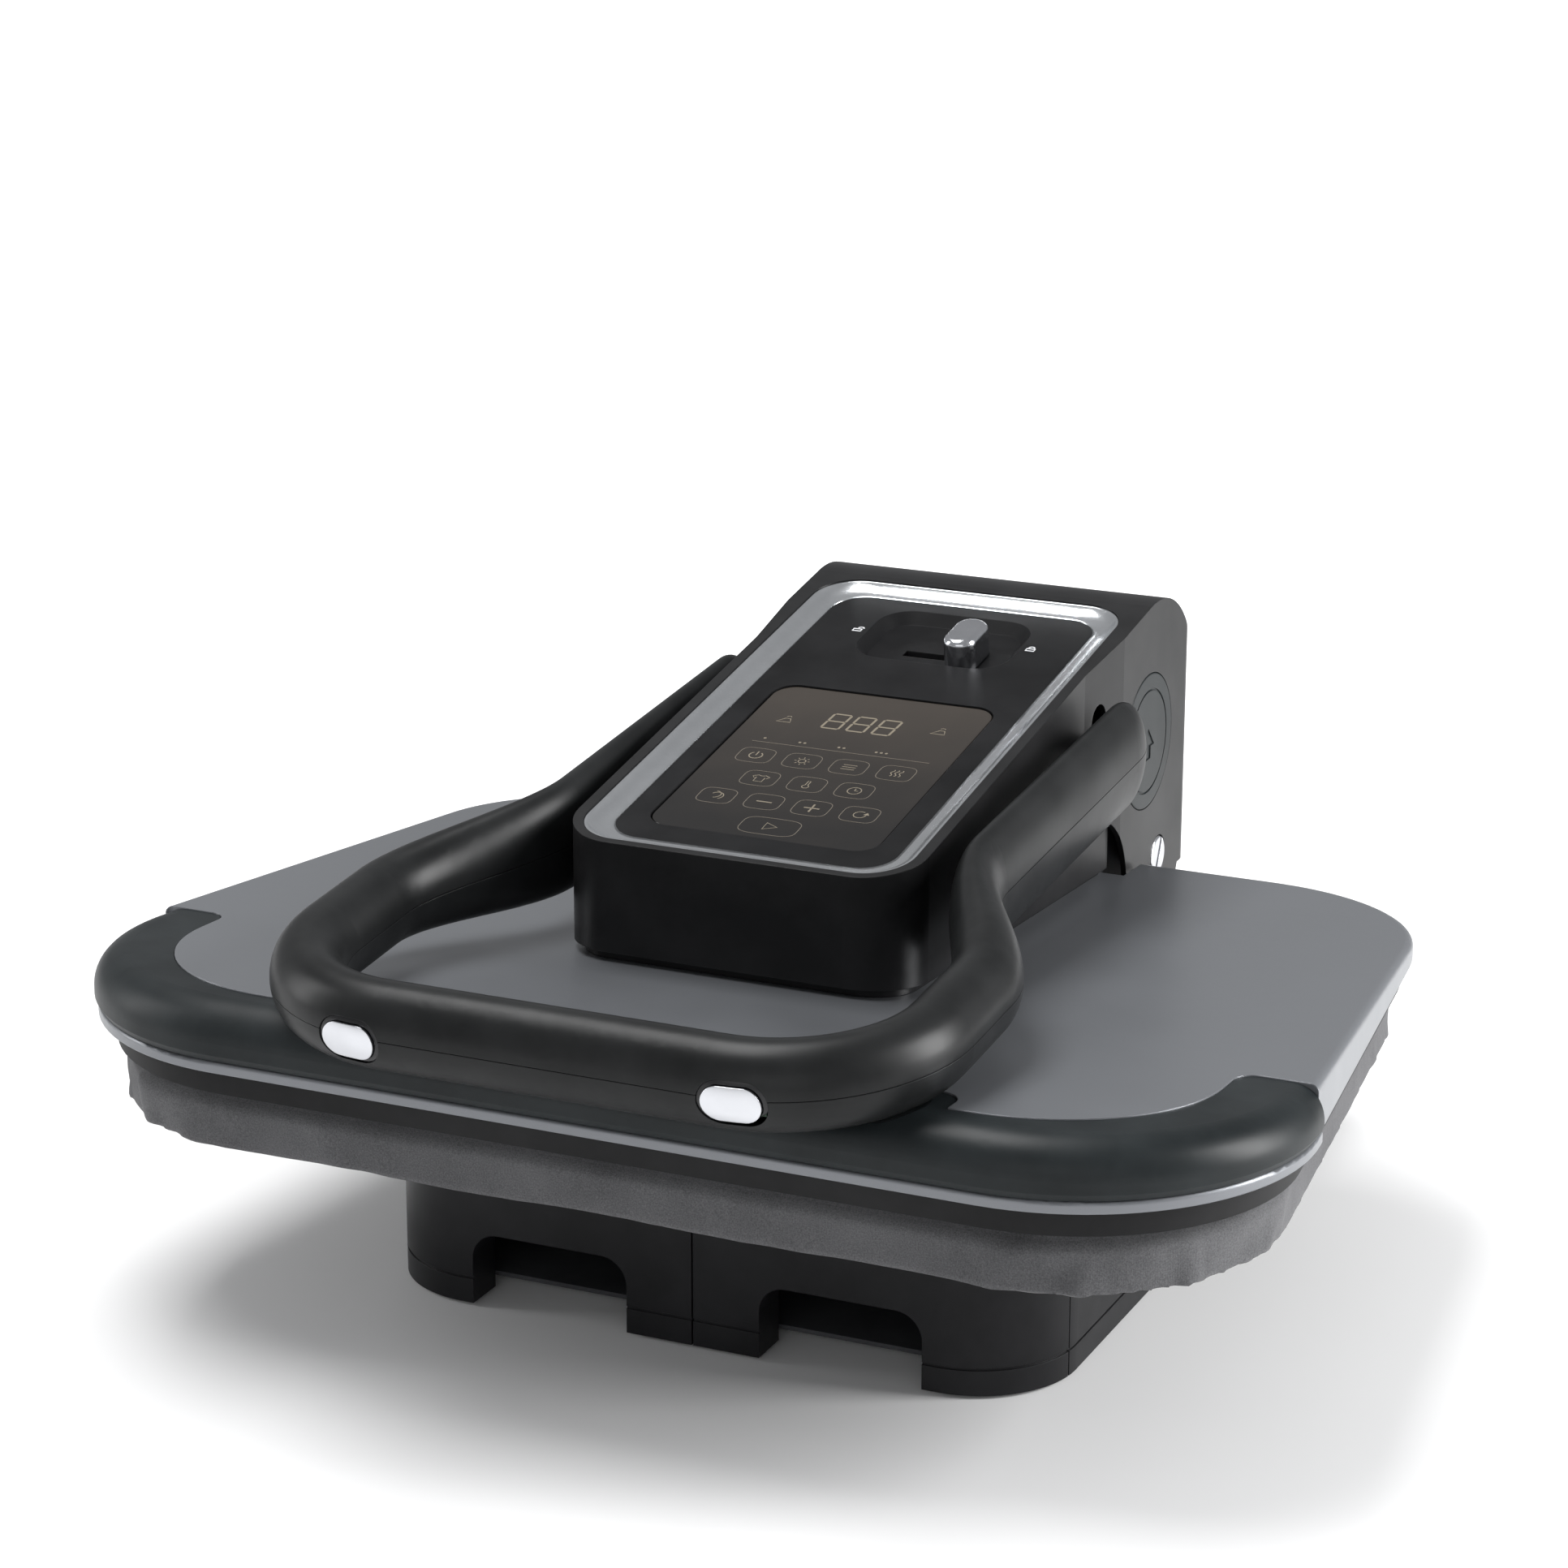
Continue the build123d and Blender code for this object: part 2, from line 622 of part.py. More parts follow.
def front_guard():
    """Rounded bumper that wraps the front edge and dips under the handle's loop."""
    bottom = COVER_BOTTOM_Z + COVER_LIP_HEIGHT + 0.3
    bumper = cover_envelope(GUARD_PROUD, GUARD_LIFT, bottom)
    bumper -= block((-BIG, BIG), (GUARD_END_Y + 40, BIG), (0, 300))
    top_edges = bumper.faces().sort_by(Axis.Z)[-1].edges().sort_by(Axis.Y)[:-1]
    bumper = fillet(top_edges, GUARD_ROUND)
    bumper = chamfer(bumper.edges().group_by(Axis.Z)[0], 3.0, 1.8)
    guard = bumper & Pos(0, 0, bottom) * extrude(guard_plan(), 60)
    guard -= cover_envelope(0.25, 0.25 - GUARD_SEAT_DEPTH, COVER_BOTTOM_Z - 5)
    return guard - handle_solid(GUARD_HANDLE_GAP)


# ---------------------------------------------------------------- head housing

def face_z(y):
    """Height of the control face."""
    return FACE_Z + FACE_SLOPE * y


def face_rectangle(size, grow=0.0):
    """Rounded rectangle on the control face from (half width, front y, rear y, radius)."""
    half, front, rear, radius = size
    front, rear = front / math.cos(FACE_TILT), rear / math.cos(FACE_TILT)
    face = RectangleRounded(2 * (half + grow), rear - front + 2 * grow, radius + grow)
    return Pos(0, (front + rear) / 2) * face


def face_prism(size, grow, low, high):
    """Rounded-rectangle prism standing on the control face, from low to high."""
    return FACE_PLANE * (Pos(0, 0, low) * extrude(face_rectangle(size, grow), high - low))


def housing_plan(inset):
    """Plan outline of the housing, a little wider at the tower."""
    front, rear = HEAD_FRONT_Y + inset, HEAD_REAR_Y - inset
    narrow, wide = HEAD_HALF_WIDTH - inset, TOWER_HALF_WIDTH - inset
    outline = polygon(
        (-narrow, front), (narrow, front), (narrow, 50), (wide, 92), (wide, rear),
        (-wide, rear), (-wide, 92), (-narrow, 50),
    )
    outline = fillet(outline.vertices().group_by(Axis.Y)[0], 26 - inset)
    return fillet(outline.vertices().group_by(Axis.Y)[-1], 12 - inset)


def housing_profile():
    """Side view of the housing: sloping top, round rear shoulder, low tower."""
    rim = RIM_RISE / math.cos(FACE_TILT)
    front, rear = HEAD_FRONT_Y, HEAD_REAR_Y
    underside = PLINTH_HEIGHT + 0.3
    profile = polygon(
        (front, cover_z(front) + underside),
        (front, face_z(front) + rim),
        (rear, face_z(rear) + rim),
        (rear, TOWER_BOTTOM_Z),
        (TOWER_FRONT_Y, TOWER_BOTTOM_Z),
        (TOWER_FRONT_Y - 8, cover_z(TOWER_FRONT_Y - 8) + underside),
    )
    shoulder = profile.vertices().group_by(Axis.Y)[-1]
    profile = fillet(shoulder, TOWER_TOP_R)
    return profile + disc(HINGE_YZ, 31)


def housing_outer():
    """Outer shape of the housing."""
    side = side_plate(housing_profile(), (-100, 100))
    plan = Pos(0, 0, 80) * extrude(housing_plan(0), 220)
    return side & plan


def housing_inner():
    """Hollow of the housing, open at the bottom."""
    rim = RIM_RISE / math.cos(FACE_TILT) - HEAD_WALL
    front, rear = HEAD_FRONT_Y, HEAD_REAR_Y - HEAD_WALL
    profile = polygon(
        (front, 60),
        (front, face_z(front) + rim),
        (rear, face_z(rear) + rim),
        (rear, 60),
    )
    profile = fillet(profile.vertices().group_by(Axis.Y)[-1], TOWER_TOP_R - HEAD_WALL)
    side = side_plate(profile, (-100, 100))
    plan = Pos(0, 0, 50) * extrude(housing_plan(HEAD_WALL), 250)
    return side & plan


def rear_panel_prism(shrink, y_range):
    """Rounded panel shape pushed through the rear wall."""
    width = 2 * (REAR_PANEL_X - shrink)
    low, high = REAR_PANEL_Z
    face = RectangleRounded(width, high - low - 2 * shrink, 8 - shrink)
    plane = Plane(origin=(0, y_range[0], (low + high) / 2), x_dir=(-1, 0, 0), z_dir=(0, 1, 0))
    return plane * extrude(face, y_range[1] - y_range[0])


def neck_slot():
    """Slot in the housing side, behind the arm, for the lever's neck."""
    raised = swing(NECK_YZ, PIVOT_YZ, HEAD_OPEN_DEG * HANDLE_RATIO)
    return side_plate(stadium(NECK_YZ, raised, 7.5), (60, 100))


def head_housing():
    """Main shell of the head and tower."""
    shell = housing_outer() - housing_inner()
    shell -= face_prism(BEZEL_OUTER, 0.2, -30, 20)
    shell -= rear_panel_prism(0, (HEAD_REAR_Y - 8, HEAD_REAR_Y + 5))
    shell -= both_sides(neck_slot())
    y, z, radius = UNDERARM_ARCH
    shell -= both_sides(rod_x((HEAD_HALF_WIDTH, 100), (y, z), radius))
    cap_seat = rod_x((TOWER_HALF_WIDTH - 1.6, 100), PIVOT_YZ, PIVOT_CAP_R + 0.3)
    axle_hole = rod_x((60, 100), HINGE_YZ, 9.8)
    shaft_hole = rod_x((60, 100), PIVOT_YZ, 8.2)
    return shell - both_sides(cap_seat + axle_hole + shaft_hole)


def rear_panel():
    """Service panel that closes the rear of the tower, with vent slots."""
    panel = rear_panel_prism(0.4, (HEAD_REAR_Y - HEAD_WALL, HEAD_REAR_Y))
    for row in range(5):
        z = 178 + 4.5 * row
        panel -= block((-36, 36), (HEAD_REAR_Y - 5, HEAD_REAR_Y + 2), (z - 1.1, z + 1.1))
    for x in (-54, 54):
        panel -= rod_y(x, 144, (HEAD_REAR_Y - 6, HEAD_REAR_Y + 2), 1.9)
    return panel


def rear_panel_screws():
    """Two screws at the bottom of the service panel."""
    screws = []
    for x in (-54, 54):
        head = rod_y(x, 144, (HEAD_REAR_Y, HEAD_REAR_Y + 1.6), 3.4)
        shank = rod_y(x, 144, (HEAD_REAR_Y - 8, HEAD_REAR_Y), 1.8)
        cross = block((x - 2, x + 2), (HEAD_REAR_Y + 0.8, HEAD_REAR_Y + 2), (143.6, 144.4))
        cross += block((x - 0.4, x + 0.4), (HEAD_REAR_Y + 0.8, HEAD_REAR_Y + 2), (142, 146))
        screws.append(head + shank - cross)
    return group(screws)


def plinth():
    """Recessed gasket frame between the cover and the housing."""
    y_low, y_high = HEAD_FRONT_Y + 5, NOTCH_FRONT_Y - 4
    outer = block((-76, 76), (y_low, y_high), (100, 200))
    outer = fillet(outer.edges().filter_by(Axis.Z).group_by(Axis.Y)[0], 20)
    inner = block((-74, 74), (y_low + 2, y_high + 9), (90, 210))
    inner = fillet(inner.edges().filter_by(Axis.Z).group_by(Axis.Y)[0], 18)
    ring = outer - inner - above_cover(PLINTH_HEIGHT)
    return ring & above_cover(0.1)


def bezel():
    """Bright dished frame round the control face."""
    height = RIM_RISE - 0.5
    frame = face_prism(BEZEL_OUTER, 0, 0.1, height)
    levels = []
    for share, rise in BEZEL_DISH:
        size = [low + share * (high - low) for low, high in zip(BEZEL_INNER, BEZEL_CREST)]
        levels.append(Pos(0, 0, rise * (height + 0.1)) * face_rectangle(size))
    return frame - FACE_PLANE * loft(levels)


def control_deck():
    """Black panel under the bezel with the display window and the slide recess."""
    deck = face_prism(BEZEL_OUTER, -0.6, -3, 0)
    tub = face_prism(SLIDE_RECESS, 2.5, -SLIDE_RECESS_DEPTH - 3, -2.9)
    low = Pos(0, 0, -SLIDE_RECESS_DEPTH) * face_rectangle(SLIDE_RECESS, -5.0)
    high = Pos(0, 0, 0.05) * face_rectangle(SLIDE_RECESS)
    dish = FACE_PLANE * loft([low, high])
    deck = deck + tub - dish
    deck -= face_prism(GLASS, 0.5, -GLASS_THICKNESS - 0.8, 5)
    slot_x = (KNOB_X - LOCK_TRAVEL - 3.2, KNOB_X + 3.2)
    return deck - block(slot_x, (KNOB_Y - 2.8, KNOB_Y + 2.8), (200, 260))


def display_glass():
    """Dark glass touch panel."""
    glass = face_prism(GLASS, 0, -GLASS_THICKNESS - 0.6, -0.6)
    top = glass.faces().sort_by(Axis.Z)[-1]
    return chamfer(top.edges(), 0.4)


def display_board():
    """Circuit board with the display behind the glass."""
    board = face_prism((49.0, -118.0, 10.0, 3.0), 0, -7.0, -5.4)
    screen = face_prism((30.0, -20.0, 6.0, 1.0), 0, -5.4, -3.4)
    return board + screen


def power_board():
    """Power circuit board with its transformer and relays."""
    z = 172.0
    board = block((-50, 50), (-142, -76), (z, z + 1.6))
    board += block((-44, -8), (-134, -100), (z + 1.6, z + 20))
    for x in (8, 28):
        board += block((x, x + 14), (-132, -112), (z + 1.6, z + 16))
    board += rod_z(20, -92, (z + 1.6, z + 18), 8)
    return board


def chassis():
    """Folded steel frame that ties the cover to the hinge and the handle pivot."""
    front, step = -132.0, NOTCH_FRONT_Y + 1
    rise = 0.6
    low = CHASSIS_X[0]
    side_face = polygon(
        (front, cover_z(front) + rise), (front, 172), (40, 172), (84, 178), (100, 212), (146, 212),
        (172, 180), (172, 124), (160, 114), (128, 114), (100, 124), (step, cover_z(step) + rise),
    )
    side = side_plate(side_face, CHASSIS_X)
    side -= rod_x((60, 80), HINGE_YZ, AXLE_R + 2.0)
    side -= rod_x((60, 80), PIVOT_YZ, AXLE_R)
    floor = block((-low, low), (front, step - 4), (100, 200)) & (above_cover(0.3) - above_cover(3.0))
    cross = block((-low, low), (148, 151), (186, 204))
    frame = both_sides(side) + floor + cross
    frame -= rod_z(-60, -120, (100, 170), 7) + rod_z(30, 20, (100, 170), 7)
    for x, y in COVER_SCREWS:
        frame -= rod_z(x, y, (100, 170), 2.1)
    return frame


def cover_screws():
    """Four screws that clamp the cover to the chassis."""
    screws = []
    for x, y in COVER_SCREWS:
        top = cover_z(y) + 3.4
        shank = rod_z(x, y, (cover_z(y) - 4, top), 2.0)
        head = rod_z(x, y, (top, top + 2.6), 4.0)
        screws.append(shank + head)
    return group(screws)


def hinge_bush():
    """Flanged bush in the chassis side, running on the axle."""
    sleeve = rod_x((CHASSIS_X[0], CHASSIS_X[1] + 2), HINGE_YZ, AXLE_R + 2.0)
    flange = rod_x((CHASSIS_X[1], CHASSIS_X[1] + 2), HINGE_YZ, AXLE_R + 4.5)
    return sleeve + flange - rod_x((60, 90), HINGE_YZ, AXLE_R + RUNNING_GAP)


def pivot_shaft():
    """Cross shaft, held in the chassis, on which both levers turn."""
    return rod_x((-78, 78), PIVOT_YZ, AXLE_R)


def pivot_cap():
    """Round cover over the end of the cross shaft, with two ring grooves."""
    outer_x = TOWER_HALF_WIDTH + 0.2
    cap = rod_x((TOWER_HALF_WIDTH - 1.5, outer_x), PIVOT_YZ, PIVOT_CAP_R)
    boss = rod_x((79.0, outer_x - 0.5), PIVOT_YZ, 7.8)
    cap = fillet(cap.edges().group_by(Axis.X)[-1], 0.7) + boss
    groove = rod_x((outer_x - 0.6, 100), PIVOT_YZ, 25.0) - rod_x((60, 110), PIVOT_YZ, 24.0)
    arrow = side_plate(polygon((-8, -3), (0, 6), (8, -3), (3.5, -3), (3.5, -9), (-3.5, -9), (-3.5, -3)), (0, 1))
    mark = Pos(outer_x - 0.5, PIVOT_YZ[0], PIVOT_YZ[1]) * arrow
    return cap - groove - mark


def water_tank():
    """Small closed tank for the steam supply."""
    tank = block((-56, -10), (-30, 36), (168, 214))
    tank = fillet(tank.edges(), 5)
    hollow = fillet(block((-54, -12), (-28, 34), (170, 212)).edges(), 3)
    filler = rod_z(-33, 3, (213, 219), 7)
    return tank - hollow + filler - rod_z(-33, 3, (205, 225), 4.5)


def water_pump():
    """Solenoid pump beside the tank."""
    body = rod_y(24, 184, (-28, 14), 13)
    outlet = rod_y(24, 184, (-44, -28), 4)
    coil = block((9, 39), (-18, 6), (170, 198))
    return body + outlet + coil


def steam_hose():
    """Bent hose from the pump down to the steam chamber."""
    with BuildLine() as line:
        FilletPolyline(
            (24, -46, 184), (24, -62, 184), (-60, -62, 184), (-60, -120, 184), (-60, -120, 150),
            radius=9,
        )
    path = line.wire()
    start = Plane(origin=path @ 0, z_dir=path % 0)
    return sweep(start * Circle(3.6), path=path)


# ---------------------------------------------------------------- lock slide

def lock_knob():
    """Tall bright thumb knob on the slide."""
    plan = SlotOverall(KNOB_LENGTH, KNOB_WIDTH)
    middle = Pos(KNOB_X, KNOB_Y / math.cos(FACE_TILT)) * Rot(0, 0, 90)
    low = -SLIDE_RECESS_DEPTH + 0.6
    knob = Pos(0, 0, low) * extrude(middle * plan, KNOB_HEIGHT)
    knob = fillet(knob.edges().group_by(Axis.Z)[-1], 3.2)
    return FACE_PLANE * knob


def lock_slide():
    """Carriage under the deck, its stem and the bolt that blocks the left lever."""
    stem = block((KNOB_X - 2.8, KNOB_X + 2.8), (KNOB_Y - 2.2, KNOB_Y + 2.2), (228, 239.0))
    carriage = block((-2, 32), (60, 84), (226.4, 230.2))
    half = BOLT_SIZE / 2
    arm = block((-2, 12), (BOLT_Y - half, 84), (BOLT_Z - half, BOLT_Z + half + 1))
    bolt = block((BOLT_TIP_X, 12), (BOLT_Y - half, BOLT_Y + half), (BOLT_Z - half, BOLT_Z + half))
    slide = stem + carriage + arm + bolt
    return slide - FACE_PLANE * Pos(0, 0, -SLIDE_RECESS_DEPTH + 0.55) * Box(BIG, BIG, 100, align=ON_FLOOR)


# ---------------------------------------------------------------- levers

def guide_path(steps=8):
    """Where the fixed pin goes, as seen from the lever, while the head opens."""
    points = []
    for step in range(steps + 1):
        angle = HEAD_OPEN_DEG * step / steps
        seen_from_head = swing(GUIDE_PIN_YZ, HINGE_YZ, -angle)
        points.append(swing(seen_from_head, PIVOT_YZ, -angle * HANDLE_RATIO))
    return points


def lever():
    """Bell-crank plate: neck to the arm, hub on the shaft, slot for the fixed pin."""
    path = guide_path()
    web = stadium(NECK_YZ, PIVOT_YZ, 12) + disc(PIVOT_YZ, 15)
    web += stadium(PIVOT_YZ, path[0], 10.5)
    slot = Sketch()
    for start, end in zip(path, path[1:]):
        web += stadium(start, end, 10.0)
        slot += stadium(start, end, GUIDE_PIN_R + 0.15)
    finger = polygon((41, 206), (56, 196), (58, 220.5), (41, 220.5))
    blocked = swing((BOLT_Y, BOLT_Z), PIVOT_YZ, -HEAD_OPEN_DEG * HANDLE_RATIO)
    window = Pos(*blocked) * Rectangle(BOLT_SIZE + 3.4, BOLT_SIZE + 3.4)
    plate = side_plate(web + finger - window - slot, LEVER_X)
    plate -= rod_x((50, 70), NECK_YZ, CORE_R + 0.05)
    return plate - rod_x((50, 70), PIVOT_YZ, AXLE_R + 2.5)


def lever_bush():
    """Bush pressed in the lever's hub, running on the cross shaft."""
    sleeve = rod_x((LEVER_X[0] - 2, LEVER_X[1] + 2), PIVOT_YZ, AXLE_R + 2.5)
    return sleeve - rod_x((50, 70), PIVOT_YZ, AXLE_R + RUNNING_GAP)


# ---------------------------------------------------------------- handle

def along_handle(y):
    """Distance from the grip's centre line, measured in the handle's own plane."""
    return (y - GRIP_Y) / math.cos(HANDLE_TILT)


def smooth(t):
    """Eases from 0 to 1."""
    t = min(max(t, 0.0), 1.0)
    return t * t * (3 - 2 * t)


def handle_section(x, v, degrees, size):
    """Oval section of the loop, square to a direction in the handle's plane."""
    angle = math.radians(degrees)
    plane = Plane(
        origin=(x, v, 0),
        x_dir=(math.sin(angle), -math.cos(angle), 0),
        z_dir=(math.cos(angle), math.sin(angle), 0),
    )
    return plane * Ellipse(size[0], size[1])


def bend_sections(grip, arm):
    """Sections of the S-shaped bend that joins the loop's side to the arm."""
    start, end = along_handle(BEND_START_Y), along_handle(BEND_END_Y)
    sections = []
    steps = 6
    for step in range(steps + 1):
        t = step / steps
        ease = smooth(t)
        x = LOOP_HALF_WIDTH + (ARM_X - LOOP_HALF_WIDTH) * ease
        lean = (ARM_X - LOOP_HALF_WIDTH) * 6 * t * (1 - t) / (end - start)
        size = [first + (last - first) * ease for first, last in zip(grip, arm)]
        degrees = 90 - math.degrees(math.atan(lean))
        sections.append(handle_section(x, start + (end - start) * t, degrees, size))
    return sections


def tip_sections(start, grow):
    """Shrinking sections that round off the end of the arm."""
    sections = []
    for degrees in (0, 20, 38, 54, 68, 80):
        angle = math.radians(degrees)
        size = [(half + grow) * math.cos(angle) for half in ARM_SECTION]
        v = start + (ARM_TIP_LENGTH + grow) * math.sin(angle)
        sections.append(handle_section(ARM_X, v, 90, size))
    return sections


def loop_half(grip, arm, arm_end):
    """Right-hand half of the loop, from the middle of the grip along the arm."""
    straight = LOOP_HALF_WIDTH - LOOP_CORNER_R
    bend_start, bend_end = along_handle(BEND_START_Y), along_handle(BEND_END_Y)
    front = extrude(handle_section(0, 0, 0, grip), straight)
    corner_axis = Axis((straight, LOOP_CORNER_R, 0), (0, 0, 1))
    corner = revolve(handle_section(straight, 0, 0, grip), corner_axis, 90)
    side_section = handle_section(LOOP_HALF_WIDTH, LOOP_CORNER_R, 90, grip)
    side = extrude(side_section, bend_start - LOOP_CORNER_R)
    bend = loft(bend_sections(grip, arm))
    straight_arm = extrude(handle_section(ARM_X, bend_end, 90, arm), arm_end - bend_end)
    return front + corner + side + bend + straight_arm


def handle_solid(grow=0.0):
    """Whole loop as one solid, with every section grown by grow."""
    grip = [half + grow for half in GRIP_SECTION]
    arm = [half + grow for half in ARM_SECTION]
    tip_start = along_handle(ARM_END_Y) - ARM_TIP_LENGTH
    half = loop_half(grip, arm, tip_start) + loft(tip_sections(tip_start, grow))
    return HANDLE_PLANE * both_sides(half)


def pill(size, y_range, grow=0.0):
    """Lying capsule shape pushed along Y at the right-hand button's place."""
    face = SlotOverall(size[0] + 2 * grow, size[1] + 2 * grow)
    plane = Plane(origin=(BUTTON_X, y_range[0], BUTTON_Z), x_dir=(-1, 0, 0), z_dir=(0, 1, 0))
    return plane * extrude(face, y_range[1] - y_range[0])


def handle_shells():
    """Upper and lower half shells of the handle."""
    shell = handle_solid() - handle_solid(-HANDLE_WALL)
    hole = pill(BUTTON_SIZE, (BUTTON_FRONT_Y, GRIP_Y), BUTTON_GAP + RING_WIDTH + 0.1)
    neck_hole = rod_x((ARM_X - 20, ARM_X), NECK_YZ, CORE_R + 0.4)
    shell = shell - both_sides(hole) - both_sides(neck_hole)
    upper_half = HANDLE_PLANE * Pos(0, 0, SEAM_GAP / 2) * Box(BIG, 2 * BIG, 200, align=ON_FLOOR)
    lower_half = HANDLE_PLANE * Pos(0, 0, -SEAM_GAP / 2 - 200) * Box(BIG, 2 * BIG, 200, align=ON_FLOOR)
    lower = shell & lower_half
    for screw in handle_screws(3.1).solids():
        lower -= screw
    return shell & upper_half, lower


def handle_core():
    """Round steel bar inside the loop whose ends turn inwards to the levers."""
    neck = along_handle(NECK_YZ[0])
    bar = loop_half((CORE_R, CORE_R), (CORE_R, CORE_R), neck)
    elbow = Pos(ARM_X, neck, 0) * Sphere(CORE_R)
    inward = Pos((ARM_X + LEVER_X[0]) / 2, neck, 0) * Rot(0, 90, 0) * Cylinder(CORE_R, ARM_X - LEVER_X[0])
    return HANDLE_PLANE * both_sides(bar + elbow + inward)


def button():
    """Bright pill button whose face follows the grip, with its short stem."""
    inner_y = GRIP_Y - GRIP_SECTION[0] + 5.5
    body = pill(BUTTON_SIZE, (BUTTON_FRONT_Y, inner_y)) & handle_solid(0.9)
    stem = rod_y(BUTTON_X, BUTTON_Z, (inner_y - 0.5, inner_y + BUTTON_STEM), 3.0)
    return body + stem


def button_ring():
    """Dark collar in the grip round the button."""
    y_range = (BUTTON_FRONT_Y, GRIP_Y - GRIP_SECTION[0] + 5)
    ring = pill(BUTTON_SIZE, y_range, BUTTON_GAP + RING_WIDTH) - pill(BUTTON_SIZE, y_range, BUTTON_GAP)
    return ring & handle_solid(-0.5)


def button_switch():
    """Small circuit board with the switch that the button presses."""
    y = GRIP_Y - GRIP_SECTION[0] + 5.5 + BUTTON_STEM + BUTTON_TRAVEL + 0.2
    dome = rod_y(BUTTON_X, BUTTON_Z, (y, y + 0.6), 4)
    board = block((BUTTON_X - 11, BUTTON_X + 11), (y + 0.6, y + 1.5), (BUTTON_Z - 6, BUTTON_Z + 6))
    return dome + board


def handle_screws(radius=3.0):
    """Screws that join the half shells, set in the underside of the loop."""
    places = (
        (LOOP_HALF_WIDTH, BEND_START_Y - 20, GRIP_SECTION[1]),
        (ARM_X, -60.0, ARM_SECTION[1]),
        (ARM_X, 25.0, ARM_SECTION[1]),
    )
    screws = []
    for x, y, half_height in places:
        for side in (-1, 1):
            screw = Pos(side * x, along_handle(y), 0.8 - half_height) * Cylinder(radius, 4, align=ON_FLOOR)
            screws.append(HANDLE_PLANE * screw)
    return group(screws)


# ---------------------------------------------------------------- write the nodes

def build_nodes():
    """All nodes by name, in the working frame."""
    nodes = {}

    front_right = base_front_right()
    nodes["base_front_right"] = front_right
    nodes["base_front_left"] = mirror(front_right, about=Plane.YZ)
    nodes["base_body"] = base_body()
    nodes["bottom_plate"] = bottom_plate()
    nodes["rubber_feet"] = rubber_feet()
    nodes["power_inlet"] = power_inlet()
    nodes["hinge_bracket"] = hinge_bracket()
    nodes["bracket_screws"] = bracket_screws()
    nodes["guide_pins"] = pair(guide_pin())
    nodes["hinge_axle"] = hinge_axle()
    nodes["axle_caps"] = pair(axle_cap())
    nodes["lift_springs"] = pair(lift_spring())
    nodes["column_cover"] = column_cover()
    nodes["board_mount"] = board_mount()
    nodes["board_tray"] = board_tray()
    nodes["foam_pad"] = foam_pad()
    nodes["board_fabric"] = board_fabric()

    nodes["heater_plate"] = heater_plate()
    nodes["heating_element"] = element_tube(ELEMENT_R)
    nodes["plate_surround"] = plate_surround()
    nodes["steam_chamber_lid"] = steam_chamber_lid()
    nodes["thermostats"] = thermostats()
    nodes["insulation"] = insulation()
    nodes["top_cover"] = top_cover()
    nodes["front_guard"] = front_guard()
    nodes["head_housing"] = head_housing()
    nodes["rear_panel"] = rear_panel()
    nodes["rear_panel_screws"] = rear_panel_screws()
    nodes["plinth"] = plinth()
    nodes["bezel"] = bezel()
    nodes["control_deck"] = control_deck()
    nodes["display_glass"] = display_glass()
    nodes["display_board"] = display_board()
    nodes["power_board"] = power_board()
    nodes["chassis"] = chassis()
    nodes["cover_screws"] = cover_screws()
    nodes["hinge_bushes"] = pair(hinge_bush())
    nodes["pivot_shaft"] = pivot_shaft()
    cap = pivot_cap()
    nodes["pivot_cap_right"] = cap
    nodes["pivot_cap_left"] = mirror(cap, about=Plane.YZ)
    nodes["water_tank"] = water_tank()
    nodes["water_pump"] = water_pump()
    nodes["steam_hose"] = steam_hose()

    nodes["lock_knob"] = lock_knob()
    nodes["lock_slide"] = lock_slide()

    upper, lower = handle_shells()
    nodes["handle_upper_shell"] = upper
    nodes["handle_lower_shell"] = lower
    nodes["handle_core"] = handle_core()
    nodes["handle_screws"] = handle_screws()
    plate = lever()
    nodes["lever_right"] = plate
    nodes["lever_left"] = mirror(plate, about=Plane.YZ)
    nodes["lever_bushes"] = pair(lever_bush())
    nodes["button_rings"] = pair(button_ring())
    nodes["button_switches"] = pair(button_switch())

    push = button()
    nodes["button_right"] = push
    nodes["button_left"] = mirror(push, about=Plane.YZ)
    return nodes


def main():
    os.makedirs("parts", exist_ok=True)
    nodes = build_nodes()
    boxes = [shape.bounding_box() for shape in nodes.values()]
    front = min(box.min.Y for box in boxes)
    rear = max(box.max.Y for box in boxes)
    to_middle = Pos(0, -(front + rear) / 2, 0)
    for name, shape in nodes.items():
        export_step(to_middle * shape, f"parts/{name}.step")


main()
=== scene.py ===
import math

import bmesh
import bpy
from mathutils import Matrix, Vector, kdtree, noise


